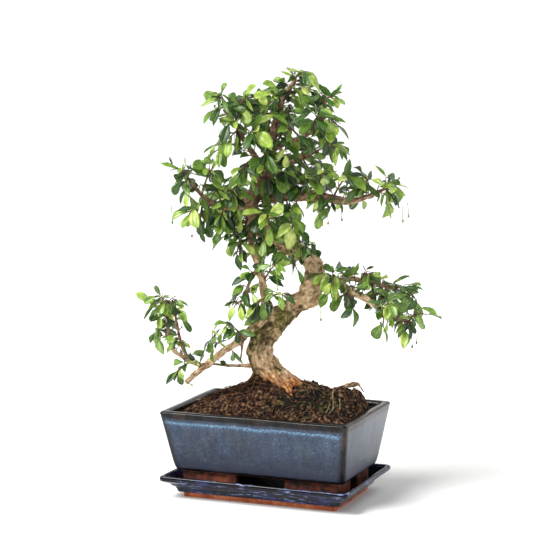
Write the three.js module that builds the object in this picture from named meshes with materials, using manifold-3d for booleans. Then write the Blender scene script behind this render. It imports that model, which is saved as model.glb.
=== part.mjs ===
// A potted bonsai tree: a glazed pot on a matching drip tray, a mound of soil,
// one crooked trunk with its branches, and leafy shoots along them.
// Millimetres, +Z up. The origin is the centre of the tray's flat underside,
// and the long front of the pot faces -Y.

import * as THREE from 'three';
import { mergeVertices } from 'three/addons/utils/BufferGeometryUtils.js';
import Module from 'manifold-3d';

const wasm = await Module();
wasm.setup();

// Driving dimensions
const GAP = 0.3; // clearance between pieces that touch
const TRAY = { length: 201.4, width: 137, height: 23, floor: 9 };
const TRAY_FOOT = { length: 164, width: 99, height: 5 };
const POT = { length: 200, width: 138, top: 90, underside: 26, floor: 35, wall: 8 };
const POT_BASE = { length: 181, width: 101 };
const FOOT = { legX: 58, legY: 35, thick: 9, outX: 83.8, outY: 45 };
const DRAIN = { radius: 7, offset: 42, mesh: 24, meshThick: 1.2, meshHole: 7, meshPitch: 10 };
const SOIL = { edge: 84, rise: 34 };
// Humps and hollows of the soil: x, y, height and spread
const SOIL_HUMPS = [
  [-17, -11, 9, 10], [19, -17, -9, 10], [-66, 0, 4, 20], [76, 6, 13, 14], [81, 27, 15, 12],
];
const TURN = 21.7; // degrees that the tree is turned in the pot, about +Z
const LEAF = { thick: 0.7, shortForm: 19, width: 0.25, curl: 0.18, turnover: 14 };
const CLEAR = { ownShoot: 2.6, otherShoot: 3.2, wood: 1.2 }; // room kept round each leaf
const TRIES = 8; // places tried for each leaf
const TWIG = { root: 1.5, tip: 1, sides: 3, steps: 2, arch: 0.12, fork: 0.35 };
const SEED = 20417;

const turn = THREE.MathUtils.degToRad(TURN);

// The tree's own axes: u to the right of its front, v away from it, z up.
function at(u, v, z) {
  const x = u * Math.cos(turn) - v * Math.sin(turn);
  const y = u * Math.sin(turn) + v * Math.cos(turn);
  return new THREE.Vector3(x, y, z);
}

// Solids and meshes

function geometryOf(points, faces) {
  const geometry = new THREE.BufferGeometry();
  const places = points.flatMap((p) => [p.x, p.y, p.z]);
  geometry.setAttribute('position', new THREE.Float32BufferAttribute(places, 3));
  geometry.setIndex(faces.flat());
  return geometry;
}

function solidOf(source) {
  const bare = source.clone();
  bare.deleteAttribute('normal');
  bare.deleteAttribute('uv');
  const geometry = mergeVertices(bare, 1e-4);
  const vertProperties = new Float32Array(geometry.attributes.position.array);
  const triVerts = new Uint32Array(geometry.index.array);
  return new wasm.Manifold(new wasm.Mesh({ numProp: 3, vertProperties, triVerts }));
}

function meshOf(name, solid, material) {
  const result = solid.getMesh();
  const geometry = new THREE.BufferGeometry();
  geometry.setAttribute('position', new THREE.Float32BufferAttribute(result.vertProperties, 3));
  geometry.setIndex(Array.from(result.triVerts));
  geometry.computeVertexNormals();
  const mesh = new THREE.Mesh(geometry, material);
  mesh.name = name;
  return mesh;
}

// Cutting can leave scraps, and only the largest piece is kept.
function largest(solid) {
  const pieces = solid.decompose();
  return pieces.reduce((best, piece) => (piece.volume() > best.volume() ? piece : best), pieces[0]);
}

// Corner points of a rounded rectangle, with extra points along its sides.
function ring(halfX, halfY, corner, height, sidePoints = 0, cornerSteps = 2) {
  const centres = [[1, -1], [1, 1], [-1, 1], [-1, -1]];
  const arcs = centres.map(([sx, sy], quarter) => {
    const start = (quarter - 1) * Math.PI / 2;
    return Array.from({ length: cornerSteps + 1 }, (_, i) => {
      const angle = start + i / cornerSteps * Math.PI / 2;
      const x = sx * (halfX - corner) + corner * Math.cos(angle);
      const y = sy * (halfY - corner) + corner * Math.sin(angle);
      return new THREE.Vector3(x, y, height);
    });
  });
  return arcs.flatMap((arc, i) => {
    const last = arc[arc.length - 1];
    const next = arcs[(i + 1) % 4][0];
    const between = Array.from({ length: sidePoints }, (_, k) => (
      last.clone().lerp(next, (k + 1) / (sidePoints + 1))
    ));
    return [...arc, ...between];
  });
}

// A closed skin over rings of equal count, with a fan over the first and the last.
function loft(rings) {
  const count = rings[0].length;
  const points = rings.flat();
  const faces = [];
  for (let r = 0; r < rings.length - 1; r += 1) {
    for (let i = 0; i < count; i += 1) {
      const a = r * count + i;
      const b = r * count + (i + 1) % count;
      faces.push([a, b, b + count], [a, b + count, a + count]);
    }
  }
  const centreOf = (list) => list.reduce((sum, p) => sum.add(p), new THREE.Vector3()).divideScalar(count);
  const first = points.push(centreOf(rings[0])) - 1;
  const last = points.push(centreOf(rings[rings.length - 1])) - 1;
  const lastStart = (rings.length - 1) * count;
  for (let i = 0; i < count; i += 1) {
    const j = (i + 1) % count;
    faces.push([first, j, i], [last, lastStart + i, lastStart + j]);
  }
  return geometryOf(points, faces);
}

// Drip tray: a bare foot, two glazed steps under a thick rolled rim, and a sunk floor

function dripTray() {
  const halfX = TRAY.length / 2;
  const halfY = TRAY.width / 2;
  const footX = TRAY_FOOT.length / 2;
  const footY = TRAY_FOOT.width / 2;
  const top = TRAY.height;
  return solidOf(loft([
    ring(footX, footY, 2.5, 0),
    ring(footX, footY, 2.5, TRAY_FOOT.height),
    ring(footX + 4.5, footY + 4.5, 3, TRAY_FOOT.height + 0.6),
    ring(halfX - 12.2, halfY - 12.5, 3, top - 12.5),
    ring(halfX - 8.7, halfY - 9, 3, top - 10),
    ring(halfX - 7.7, halfY - 8, 3, top - 8.5),
    ring(halfX - 2.5, halfY - 2.5, 3, top - 6),
    ring(halfX - 0.5, halfY - 0.5, 3.5, top - 4.8),
    ring(halfX, halfY, 4, top - 2.5),
    ring(halfX - 0.8, halfY - 0.8, 4, top - 0.5),
    ring(halfX - 2.5, halfY - 2.5, 4, top),
    ring(halfX - 4.3, halfY - 4.3, 3.5, top - 0.8),
    ring(halfX - 6.2, halfY - 6.2, 3, top - 3.5),
    ring(halfX - 12.2, halfY - 12.2, 3, top - 8.8),
    ring(halfX - 16.2, halfY - 16.2, 3, TRAY.floor),
  ]));
}

// Pot: tapered walls, a rounded foot edge, four L-shaped corner feet and two drain holes

// Half sizes of the inside of the wall at a height
function potInside(height) {
  const share = (height - POT.floor) / (POT.top - POT.floor);
  const lengthBelow = POT_BASE.length / 2 - POT.wall + 1.5;
  const widthBelow = POT_BASE.width / 2 - POT.wall + 1.5;
  const x = THREE.MathUtils.lerp(lengthBelow, POT.length / 2 - POT.wall, share);
  const y = THREE.MathUtils.lerp(widthBelow, POT.width / 2 - POT.wall, share);
  return [x, y];
}

function potFoot(signX, signY) {
  const outline = new THREE.Shape();
  outline.moveTo(FOOT.outX, FOOT.outY);
  outline.lineTo(FOOT.outX - FOOT.legX, FOOT.outY);
  outline.lineTo(FOOT.outX - FOOT.legX, FOOT.outY - FOOT.thick);
  outline.lineTo(FOOT.outX - FOOT.thick, FOOT.outY - FOOT.thick);
  outline.lineTo(FOOT.outX - FOOT.thick, FOOT.outY - FOOT.legY);
  outline.lineTo(FOOT.outX, FOOT.outY - FOOT.legY);
  const bottom = TRAY.floor + GAP;
  const depth = POT.underside + 3 - bottom;
  const block = new THREE.ExtrudeGeometry(outline, { depth, bevelEnabled: false });
  return solidOf(block.translate(0, 0, bottom)).scale([signX, signY, 1]);
}

function pot() {
  const halfX = POT.length / 2;
  const halfY = POT.width / 2;
  const baseX = POT_BASE.length / 2;
  const baseY = POT_BASE.width / 2;
  const [floorX, floorY] = potInside(POT.floor + 4);
  const [lipX, lipY] = potInside(POT.top - 2);
  const body = solidOf(loft([
    ring(baseX - 4, baseY - 4, 4, POT.underside),
    ring(baseX - 1, baseY - 1, 5, POT.underside + 1.2),
    ring(baseX + 0.6, baseY + 0.7, 5, POT.underside + 4),
    ring(baseX + 1.8, baseY + 2.6, 4.5, POT.underside + 10),
    ring(halfX - 0.4, halfY - 0.7, 4, POT.top - 3.5),
    ring(halfX, halfY, 4, POT.top - 1.5),
    ring(halfX - 1.4, halfY - 1.4, 4, POT.top),
    ring(lipX + 1.5, lipY + 1.5, 4, POT.top),
    ring(lipX, lipY, 4, POT.top - 2),
    ring(floorX, floorY, 6, POT.floor + 4),
    ring(floorX - 4, floorY - 4, 6, POT.floor),
  ]));
  const feet = [[1, 1], [1, -1], [-1, 1], [-1, -1]].map(([x, y]) => potFoot(x, y));
  const drain = new THREE.CylinderGeometry(DRAIN.radius, DRAIN.radius, 30, 16).rotateX(Math.PI / 2);
  const holes = [-1, 1].map((side) => solidOf(drain).translate([side * DRAIN.offset, 0, POT.floor - 5]));
  const holed = holes.reduce((solid, hole) => solid.subtract(hole), body);
  return feet.reduce((solid, foot) => solid.add(foot), holed);
}

// Drain mesh: a plastic screen with square openings, laid over a drain hole

function drainMesh(side) {
  const plate = solidOf(new THREE.BoxGeometry(DRAIN.mesh, DRAIN.mesh, DRAIN.meshThick));
  const hole = solidOf(new THREE.BoxGeometry(DRAIN.meshHole, DRAIN.meshHole, 3 * DRAIN.meshThick));
  const offsets = [-DRAIN.meshPitch / 2, DRAIN.meshPitch / 2];
  const places = offsets.flatMap((x) => offsets.map((y) => [x, y, 0]));
  const screen = places.reduce((solid, place) => solid.subtract(hole.translate(place)), plate);
  return screen.translate([side * DRAIN.offset, 0, POT.floor + GAP + DRAIN.meshThick / 2]);
}

// Tree skeleton, in the tree's own axes: each point is [u, v, z, radius]

const TRUNK = [
  [19, -7, 97, 12], [13, -5, 106, 13], [5, -3, 115, 13.5], [-4, -2, 124, 13.5], [-13, -2, 134, 13.5],
  [-17, -4, 146, 12.8], [-15.5, -5, 157, 12.4], [-9.5, -5, 164, 11.6], [-3, -4, 170.5, 10.8],
  [7.5, -3, 182.5, 10.4], [18.5, -1, 193.5, 10.3], [29, 0, 199.5, 10.6], [35, 1, 209, 11],
  [38.5, 2, 221, 10.8], [37, 3, 233, 9.4], [28, 4, 243.5, 8.8], [11, 5, 253, 8.8], [-9, 6, 263, 8.8],
  [-21, 6, 277, 9], [-26, 5, 292, 8.2], [-20, 3, 310, 6.8], [-10, 1, 329, 5.6], [-4, 0, 349, 4.6],
  [-2, 1, 374, 3.6], [5, 2, 397, 2.8], [13, 2, 410, 2.3], [19, 2, 420, 1.8],
];

const ROOTS = [
  [[8, -4, 117, 9.5], [19, -9, 112, 8], [28, -12, 106, 5]],
  [[-10, 0, 126, 9], [-21, 3, 117, 6.5], [-33, 7, 104, 4]],
  [[8, -6, 113, 9], [13, -15, 105, 6.5], [16, -22, 97, 4]],
  [[-2, 4, 122, 9], [6, 18, 112, 6.5], [13, 31, 101, 4]],
  [[8, 2, 117, 8], [24, 9, 110, 5.5], [38, 15, 101, 3.5]],
];

const LIMBS = {
  riser: [[-6, -12, 187, 5], [-10, -15, 200, 4.4], [-13, -17, 212, 4.2], [-15, -17, 224, 4],
    [-19, -15, 237, 3.6], [-24, -9, 250, 3.2], [-26, -2, 262, 2.8], [-25, 4, 274, 2.6]],
  riserTwig: [[-18, -16, 234, 2.2], [-25, -20, 222, 2], [-30, -24, 211, 1.8], [-33, -28, 200, 1.6]],
  lowLeft: [[3, -4, 190, 5.5], [-8.5, -12, 184, 5.4], [-19, -16, 177, 4.7], [-29, -18, 168, 4.3],
    [-37, -19, 160, 4], [-49, -20, 152, 3.6], [-62, -18, 142, 3.6], [-70, -17, 135, 3.6],
    [-80, -17, 127, 3.2], [-91, -18, 117, 2.6]],
  lowLeftRise: [[-70, -17, 135, 2.8], [-82, -12, 136, 2.5], [-93, -4, 140, 2.3], [-105, 4, 147, 2.1],
    [-110, 9, 159, 1.9], [-110, 12, 176, 1.7], [-111, 14, 190, 1.5]],
  lowLeftShoot: [[-90, -6, 139, 2], [-96, -13, 158, 1.8], [-99, -17, 173, 1.7], [-101, -19, 188, 1.5],
    [-104, -20, 202, 1.3]],
  thinTwig: [[-20, 2, 131, 2.8], [-32, 12, 129, 2.2], [-48, 20, 128, 1.8], [-66, 27, 128, 1.5]],
  deadTwig: [[-34, -19, 163, 1.6], [-34.5, -22, 152, 1.4], [-36, -24, 141, 1.1]],
  rightLow: [[36, 0, 217, 6], [48, -5, 219, 5.2], [58, -10, 217, 4.6], [72, -14, 210, 4.3], [86, -18, 204, 4],
    [106, -20, 191, 3], [122, -20, 183, 2.4], [135, -18, 177, 2]],
  rightRise: [[58, -10, 217, 3.4], [71, -4, 221, 3.2], [84, 4, 218, 2.8], [98, 10, 214, 2.4],
    [111, 14, 210, 2.2], [125, 16, 205, 1.9], [136, 16, 200, 1.6]],
  upRight: [[-15, 4, 299, 6.5], [8, 2, 304, 6.6], [23, -2, 304, 6.4], [39, -6, 304, 5.8], [56, -10, 301, 4.6],
    [71, -12, 299, 3.8], [85, -12, 302, 3], [101, -10, 308, 2.3], [113, -8, 314, 1.8]],
  upLeft: [[-24, 5, 289, 6], [-37, -2, 294, 5], [-52, -10, 293, 4], [-64, -14, 297, 3.2],
    [-74, -18, 306, 2.6], [-84, -20, 318, 2.2], [-94, -22, 331, 1.8]],
  topLeft: [[-10, 1, 329, 4], [-20, -8, 342, 3.4], [-31, -14, 358, 2.8], [-41, -18, 376, 2.3],
    [-52, -18, 391, 1.8]],
  topRight: [[-4, 0, 349, 3.6], [8, -8, 356, 3], [23, -14, 362, 2.6], [37, -18, 370, 2.2],
    [47, -20, 384, 1.9], [48, -20, 400, 1.6]],
  backLeft: [[-25, 5, 292, 5], [-32, 22, 297, 4], [-41, 38, 298, 3], [-50, 50, 301, 2]],
  backRight: [[-12, 2, 327, 4.4], [4, 18, 332, 3.6], [22, 34, 337, 2.8], [41, 44, 345, 1.9]],
  backTop: [[-3, 0, 359, 3.2], [-9, 16, 372, 2.8], [-15, 28, 386, 2.2], [-21, 36, 397, 1.7]],
  backLow: [[30, 4, 241, 5], [26, 20, 247, 3.8], [16, 36, 254, 2.8], [4, 48, 262, 1.9]],
};

const BARK_PIECE = [
  [62, -4, 108, 2.6], [71, -3, 110, 3.4], [80, -2, 111, 3.2], [86, -1, 108.5, 2.4], [89, 0, 103, 1.6],
];

// How many sides each kind of wood has, and how deep its ridges are as a share of the radius
const BARK = {
  trunk: { sides: 10, depth: 0.13 },
  root: { sides: 6, depth: 0.12 },
  thickLimbFrom: 5.5,
  thickLimb: { sides: 6, depth: 0.1 },
  limb: { sides: 5, depth: 0.1 },
  piece: { sides: 7, depth: 0.25 },
};

// Ridges and hollows of the bark, as a share of the radius
function barkShape(angle, along, depth) {
  const flutes = 0.5 * Math.sin(3 * angle + 0.11 * along) + 0.3 * Math.sin(5 * angle - 0.17 * along + 1);
  return 1 + depth * (flutes + 0.35 * Math.sin(2 * angle + 0.31 * along));
}

// Rings of a tube around its centre points, each as far out as its reach says
function tubeRings(centres, sides, reachOf) {
  let along = 0;
  let side = new THREE.Vector3(1, 0, 0);
  return centres.map((centre, i) => {
    const ahead = centres[Math.min(i + 1, centres.length - 1)];
    const behind = centres[Math.max(i - 1, 0)];
    const tangent = ahead.clone().sub(behind).normalize();
    side = side.clone().addScaledVector(tangent, -side.dot(tangent)).normalize();
    const across = tangent.clone().cross(side);
    along += i > 0 ? centre.distanceTo(centres[i - 1]) : 0;
    return Array.from({ length: sides }, (_, k) => {
      const angle = k / sides * 2 * Math.PI;
      const reach = reachOf(i, angle, along);
      const point = centre.clone().addScaledVector(side, reach * Math.cos(angle));
      return point.addScaledVector(across, reach * Math.sin(angle));
    });
  });
}

// The curve through skeleton points, stopping at every one of them
function spine(skeleton) {
  const points = skeleton.map(([u, v, z]) => at(u, v, z));
  return new THREE.CatmullRomCurve3(points, false, 'catmullrom', 0.5);
}

// A tapering tube around skeleton points, grown outwards by a margin
function woodTube(skeleton, bark, grow = 0) {
  const spans = skeleton.length - 1;
  const centres = skeleton.map((_, i) => spine(skeleton).getPoint(i / spans));
  return solidOf(loft(tubeRings(centres, bark.sides, (i, angle, along) => (
    skeleton[i][3] * barkShape(angle, along, bark.depth) + grow
  ))));
}

function wood(grow = 0) {
  const trunk = woodTube(TRUNK, BARK.trunk, grow);
  const roots = ROOTS.map((root) => woodTube(root, BARK.root, grow));
  const limbs = Object.values(LIMBS).map((limb) => (
    woodTube(limb, limb[0][3] > BARK.thickLimbFrom ? BARK.thickLimb : BARK.limb, grow)
  ));
  return [...roots, ...limbs].reduce((solid, piece) => solid.add(piece), trunk);
}

// Soil: fills the pot, mounded under the trunk, with plain holes for what stands in it

function moundHeight(x, y) {
  const [halfX, halfY] = potInside(SOIL.edge);
  const alongPot = 1 - Math.abs(x / halfX) ** (x > 0 ? 2.6 : 1.8);
  const acrossPot = 1 - Math.abs(y / halfY) ** 2.2;
  const humps = SOIL_HUMPS.reduce((sum, [humpX, humpY, height, spread]) => (
    sum + height * Math.exp(-(((x - humpX) ** 2 + (y - humpY) ** 2) / spread ** 2))
  ), 0);
  const lumps = 1.3 * Math.sin(0.21 * x + 1) * Math.cos(0.27 * y) + 0.8 * Math.sin(0.43 * x + 0.31 * y);
  const offWall = 1 - Math.abs(x / halfX) ** 24;
  return SOIL.edge + (SOIL.rise * alongPot + humps * offWall + lumps) * Math.max(acrossPot, 0);
}

function soil(standing) {
  const bottom = POT.floor + GAP;
  const shares = [0.96, 0.86, 0.72, 0.57, 0.42, 0.25];
  const [lowX, lowY] = potInside(POT.floor + 4);
  const [edgeX, edgeY] = potInside(SOIL.edge);
  const mound = shares.map((share) => {
    const points = ring((edgeX - GAP) * share, (edgeY - GAP) * share, 5 * share, 0, 2);
    points.forEach((p) => { p.z = moundHeight(p.x, p.y); });
    return points;
  });
  const heap = solidOf(loft([
    ring(lowX - 4 - GAP, lowY - 4 - GAP, 6, bottom, 2),
    ring(lowX - GAP, lowY - GAP, 6, POT.floor + 4, 2),
    ring(edgeX - GAP, edgeY - GAP, 5, SOIL.edge, 2),
    ...mound,
  ]));
  const size = DRAIN.mesh + 2 * GAP;
  const recess = new THREE.BoxGeometry(size, size, 2 * (DRAIN.meshThick + GAP));
  const recesses = [-1, 1].map((side) => solidOf(recess).translate([side * DRAIN.offset, 0, bottom]));
  return largest([...recesses, ...standing].reduce((solid, piece) => solid.subtract(piece), heap));
}

// Leafy shoots, in the tree's own axes: where each leaves its branch, the tips of its twigs
// (the others fork from the first), how many leaves each twig carries, and their usual length.

const SHOOTS = [
  [[16, 2, 414], [[24, 0, 425]], 3, 21],
  [[6, 2, 399], [[40, -6, 408], [-8, -10, 395], [-5, 16, 393]], 4, 19],
  [[-50, -18, 388], [[-54, -30, 404], [-58, -20, 391]], 4, 20],
  [[-41, -18, 376], [[-30, -20, 404]], 5, 19],
  [[-21, 36, 396], [[-18, 44, 402], [-38, 50, 394]], 3, 19],
  [[-38, -17, 370], [[-46, -28, 362]], 4, 17],
  [[-31, -14, 360], [[-22, -32, 370]], 6, 23],
  [[-28, -12, 354], [[-62, -22, 348]], 5, 20],
  [[-20, -8, 342], [[-36, -28, 328]], 5, 20],
  [[-90, -21, 326], [[-97, -24, 332], [-86, -30, 305]], 4, 18],
  [[-74, -18, 306], [[-62, -30, 334]], 5, 20],
  [[-66, -15, 299], [[-86, -26, 288], [-76, -24, 272]], 4, 19],
  [[-52, -10, 293], [[-56, -24, 270]], 5, 18],
  [[-37, -2, 294], [[-46, -22, 312]], 5, 18],
  [[-27, 4, 286], [[-40, -14, 246], [-52, 10, 262]], 4, 18],
  [[-50, 50, 301], [[-66, 58, 304], [-38, 62, 304]], 3, 20],
  [[-41, 38, 298], [[-56, 42, 286]], 5, 19],
  [[-12, 1, 325], [[-12, -28, 345]], 6, 22],
  [[-18, 3, 313], [[6, -28, 324]], 5, 21],
  [[-26, 5, 290], [[-6, -26, 276]], 5, 20],
  [[8, 2, 304], [[16, -18, 272]], 5, 19],
  [[23, -2, 304], [[32, -20, 322]], 5, 20],
  [[42, -7, 304], [[46, -26, 328], [44, 14, 322], [46, -20, 294]], 3, 19],
  [[56, -10, 301], [[70, -22, 324]], 5, 18],
  [[70, -12, 299], [[94, -18, 322]], 5, 18],
  [[108, -9, 311], [[116, -10, 316], [108, -20, 297]], 4, 19],
  [[48, -20, 400], [[56, -22, 403]], 5, 15],
  [[46, -20, 383], [[61, -24, 373]], 5, 18],
  [[35, -17, 369], [[40, -34, 384]], 4, 22],
  [[40, -18, 374], [[57, -30, 350]], 5, 19],
  [[23, -14, 362], [[10, -26, 372]], 4, 17],
  [[41, 44, 345], [[60, 52, 350], [34, 62, 356]], 5, 19],
  [[24, 35, 338], [[36, 50, 318]], 5, 19],
  [[-3, 0, 370], [[14, -16, 390], [18, 12, 386]], 4, 19],
  [[-14, 27, 384], [[8, 36, 378]], 4, 18],
  [[34, 4, 238], [[26, -14, 261]], 5, 18],
  [[12, 5, 253], [[20, -18, 232]], 4, 18],
  [[-12, -17, 217], [[0, -32, 238]], 5, 18],
  [[-32, -27, 203], [[-42, -32, 196]], 4, 15],
  [[-6, -14, 202], [[6, -34, 208], [-20, -34, 198]], 4, 17],
  [[-36, -20, 165], [[-46, -28, 176]], 4, 15],
  [[-102, -19, 194], [[-113, -22, 200], [-94, -26, 183]], 4, 16],
  [[-110, 12, 176], [[-127, 12, 193], [-116, 24, 197], [-122, 16, 157]], 4, 18],
  [[-84, -11, 136], [[-100, -16, 128]], 4, 16],
  [[-66, -18, 139], [[-64, -26, 160]], 4, 16],
  [[4, 48, 262], [[-10, 58, 272], [16, 58, 254]], 4, 19],
  [[54, -8, 218], [[58, -26, 227], [45, -24, 228], [50, -22, 207]], 3, 18],
  [[72, -14, 210], [[75, -24, 193], [62, -28, 204]], 4, 19],
  [[106, -20, 191], [[106, -30, 175], [110, -32, 200]], 4, 17],
  [[126, -19, 181], [[150, -16, 186], [128, -26, 171]], 4, 18],
  [[84, 4, 218], [[94, -4, 225], [90, 20, 222]], 4, 16],
  [[98, 10, 214], [[100, -4, 196]], 4, 19],
  [[122, 15, 206], [[120, 18, 213], [114, 32, 204], [142, 16, 196]], 3, 17],
];

// Draws from a seeded generator, between two values
let state = SEED;
function draw(low, high) {
  state = (Math.imul(state, 1664525) + 1013904223) >>> 0;
  return low + (high - low) * state / 2 ** 32;
}

// Points inside the wood, five to a span, each with the radius there
const INSIDE_WOOD = [TRUNK, ...Object.values(LIMBS)].flatMap((skeleton) => {
  const steps = (skeleton.length - 1) * 5;
  return Array.from({ length: steps + 1 }, (_, i) => {
    const span = Math.min(Math.floor(i / 5), skeleton.length - 2);
    const radius = THREE.MathUtils.lerp(skeleton[span][3], skeleton[span + 1][3], i / 5 - span);
    return { point: spine(skeleton).getPoint(i / steps), radius };
  });
});

function nearestInsideWood(point) {
  return INSIDE_WOOD.reduce((best, s) => (
    s.point.distanceToSquared(point) < best.distanceToSquared(point) ? s.point : best
  ), INSIDE_WOOD[0].point);
}

// A twig runs from its root to its tip in a low arch.
function twigPoint(twig, t) {
  const rise = TWIG.arch * twig.root.distanceTo(twig.tip) * 4 * t * (1 - t);
  return twig.root.clone().lerp(twig.tip, t).add(new THREE.Vector3(0, 0, rise));
}

function twigSolid(twig) {
  const centres = Array.from({ length: TWIG.steps + 1 }, (_, i) => twigPoint(twig, i / TWIG.steps));
  const reach = (i) => THREE.MathUtils.lerp(TWIG.root, TWIG.tip, i / TWIG.steps);
  return solidOf(loft(tubeRings(centres, TWIG.sides, reach)));
}

// How a leaf lies: its base, the way it points, the way its face looks, and its length
function leafPose(twig, index, count, size) {
  const t = Math.min(0.2 + 0.8 * (index + draw(0.3, 1)) / count, 0.97);
  const base = twigPoint(twig, t);
  const along = twigPoint(twig, t + 0.03).sub(twigPoint(twig, t - 0.03)).normalize();
  const helper = Math.abs(along.z) > 0.9 ? new THREE.Vector3(1, 0, 0) : new THREE.Vector3(0, 0, 1);
  const side = helper.clone().cross(along).normalize();
  const over = along.clone().cross(side);
  const angle = index * 2.4 + draw(-0.6, 0.6);
  const out = side.multiplyScalar(Math.cos(angle)).addScaledVector(over, Math.sin(angle));
  const ahead = index === count - 1 ? 1.4 : draw(0.2, 0.8);
  const dir = out.clone().multiplyScalar(0.7).addScaledVector(along, ahead);
  dir.z -= draw(0.15, 1.1);
  dir.normalize();
  const behind = base.dot(at(0, 1, 0)) > LEAF.turnover;
  const open = at(0, behind ? 1 : -1, 0).multiplyScalar(draw(0.1, 0.9));
  const away = new THREE.Vector3(base.x, base.y, 0).normalize().multiplyScalar(0.4);
  const face = open.add(away).addScaledVector(out, 0.3).add(new THREE.Vector3(0, 0, draw(0.2, 0.7)));
  face.addScaledVector(dir, -face.dot(dir)).normalize();
  return { base, dir, face, length: size * draw(0.85, 1.25) };
}

// A point of a leaf: how far along it, and how far across as a share of its half width
function leafPoint(pose, s, across) {
  const side = pose.face.clone().cross(pose.dir);
  const half = LEAF.width * pose.length * across;
  const lift = -LEAF.curl * pose.length * s * s;
  const point = pose.base.clone().addScaledVector(pose.dir, pose.length * s);
  return point.addScaledVector(side, half).addScaledVector(pose.face, lift);
}

// A spoon-shaped blade, bent down to its tip. Short leaves have one pair of edge points.
function leafSolid(pose) {
  const short = pose.length < LEAF.shortForm;
  const outline = short
    ? [[0, 0], [0.62, -1], [1, 0], [0.62, 1]]
    : [[0, 0], [0.42, -0.74], [0.76, -1], [1, 0], [0.76, 1], [0.42, 0.74]];
  const skin = short
    ? [[0, 1, 3], [1, 2, 3]]
    : [[0, 1, 5], [1, 2, 5], [2, 4, 5], [2, 3, 4]];
  const middle = outline.map(([s, across]) => leafPoint(pose, s, across));
  const count = middle.length;
  const half = pose.face.clone().multiplyScalar(LEAF.thick / 2);
  const points = [...middle.map((p) => p.clone().add(half)), ...middle.map((p) => p.clone().sub(half))];
  const edges = outline.flatMap((_, i) => {
    const j = (i + 1) % count;
    return [[i + count, j + count, j], [i + count, j, i]];
  });
  const under = skin.map(([a, b, c]) => [a + count, c + count, b + count]);
  return solidOf(geometryOf(points, [...skin, ...under, ...edges]));
}

// Places already filled, kept in cells so that near ones are found quickly
const CELL = 6;
const filled = new Map();
const cellOf = (p, dx = 0, dy = 0, dz = 0) => (
  `${Math.floor(p.x / CELL) + dx},${Math.floor(p.y / CELL) + dy},${Math.floor(p.z / CELL) + dz}`
);

function fill(point, shoot) {
  const key = cellOf(point);
  filled.set(key, [...(filled.get(key) ?? []), { point, shoot }]);
}

const roomBy = (owner, shoot) => (owner === shoot ? CLEAR.ownShoot : CLEAR.otherShoot);

function isFree(point, shoot) {
  for (const dx of [-1, 0, 1]) {
    for (const dy of [-1, 0, 1]) {
      for (const dz of [-1, 0, 1]) {
        const near = filled.get(cellOf(point, dx, dy, dz)) ?? [];
        if (near.some((n) => n.point.distanceTo(point) < roomBy(n.shoot, shoot))) {
          return false;
        }
      }
    }
  }
  return true;
}

function leafSamples(pose) {
  const places = [0.3, 0.5, 0.7, 0.88].flatMap((s) => [-0.75, 0, 0.75].map((across) => [s, across]));
  return [...places, [1, 0]].map(([s, across]) => leafPoint(pose, s, across));
}

function boxesMeet(a, b) {
  const [boxA, boxB] = [a.boundingBox(), b.boundingBox()];
  return [0, 1, 2].every((k) => boxA.min[k] < boxB.max[k] + GAP && boxB.min[k] < boxA.max[k] + GAP);
}

const tooNear = (solid, other) => boxesMeet(solid, other) && solid.minGap(other, GAP) < GAP;

function leafyShoots(tree, treeGrown) {
  const shoots = SHOOTS.map(([start, tips, count, size]) => {
    const root = nearestInsideWood(at(...start));
    const twigs = [{ root, tip: at(...tips[0]) }];
    const fork = twigPoint(twigs[0], TWIG.fork);
    twigs.push(...tips.slice(1).map((tip) => ({ root: fork, tip: at(...tip) })));
    const stems = twigs.map(twigSolid).reduce((solid, stem) => solid.add(stem));
    return { twigs, count, size, solid: largest(stems.subtract(treeGrown)) };
  });
  shoots.forEach((shoot, index) => shoot.twigs.forEach((twig) => {
    for (let i = 1; i <= 12; i += 1) {
      fill(twigPoint(twig, i / 12), index);
    }
  }));
  shoots.forEach((shoot, index) => shoot.twigs.forEach((twig) => {
    for (let i = 0; i < shoot.count; i += 1) {
      for (let attempt = 0; attempt < TRIES; attempt += 1) {
        const pose = leafPose(twig, i, shoot.count, shoot.size);
        const samples = leafSamples(pose);
        const clear = samples.every((p) => isFree(p, index)
          && INSIDE_WOOD.every((w) => w.point.distanceTo(p) > w.radius + CLEAR.wood));
        if (clear) {
          samples.forEach((p) => fill(p, index));
          const leaf = leafSolid(pose);
          const others = shoots.filter((_, k) => k !== index);
          if (!tooNear(leaf, tree) && !others.some((other) => tooNear(leaf, other.solid))) {
            shoot.solid = shoot.solid.add(leaf);
          }
          break;
        }
      }
    }
  }));
  return shoots.map((shoot) => largest(shoot.solid));
}

// Materials

const finish = (color, roughness) => new THREE.MeshStandardMaterial({ color, roughness, metalness: 0 });

// The whole part

const tree = wood();
const treeGrown = wood(GAP);
const barkPiece = woodTube(BARK_PIECE, BARK.piece);
const barkPieceGrown = woodTube(BARK_PIECE, BARK.piece, GAP);

const bonsai = new THREE.Group();
bonsai.add(meshOf('drip_tray', dripTray(), finish(0x2b3350, 0.25)));
bonsai.add(meshOf('pot', pot(), finish(0x4d6380, 0.3)));
bonsai.add(meshOf('drain_mesh_left', drainMesh(-1), finish(0x2f3133, 0.6)));
bonsai.add(meshOf('drain_mesh_right', drainMesh(1), finish(0x2f3133, 0.6)));
bonsai.add(meshOf('soil', soil([treeGrown, barkPieceGrown]), finish(0x3a2a22, 0.95)));
bonsai.add(meshOf('bark_piece', barkPiece, finish(0x7a5636, 0.9)));
bonsai.add(meshOf('trunk_and_branches', tree, finish(0xa58a66, 0.85)));
leafyShoots(tree, treeGrown).forEach((shoot, i) => {
  const name = `leafy_shoot_${String(i + 1).padStart(2, '0')}`;
  bonsai.add(meshOf(name, shoot, finish(i % 2 ? 0x4c7a2b : 0x5d8a33, 0.45)));
});

export default bonsai;
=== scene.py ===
import math
import random

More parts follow.
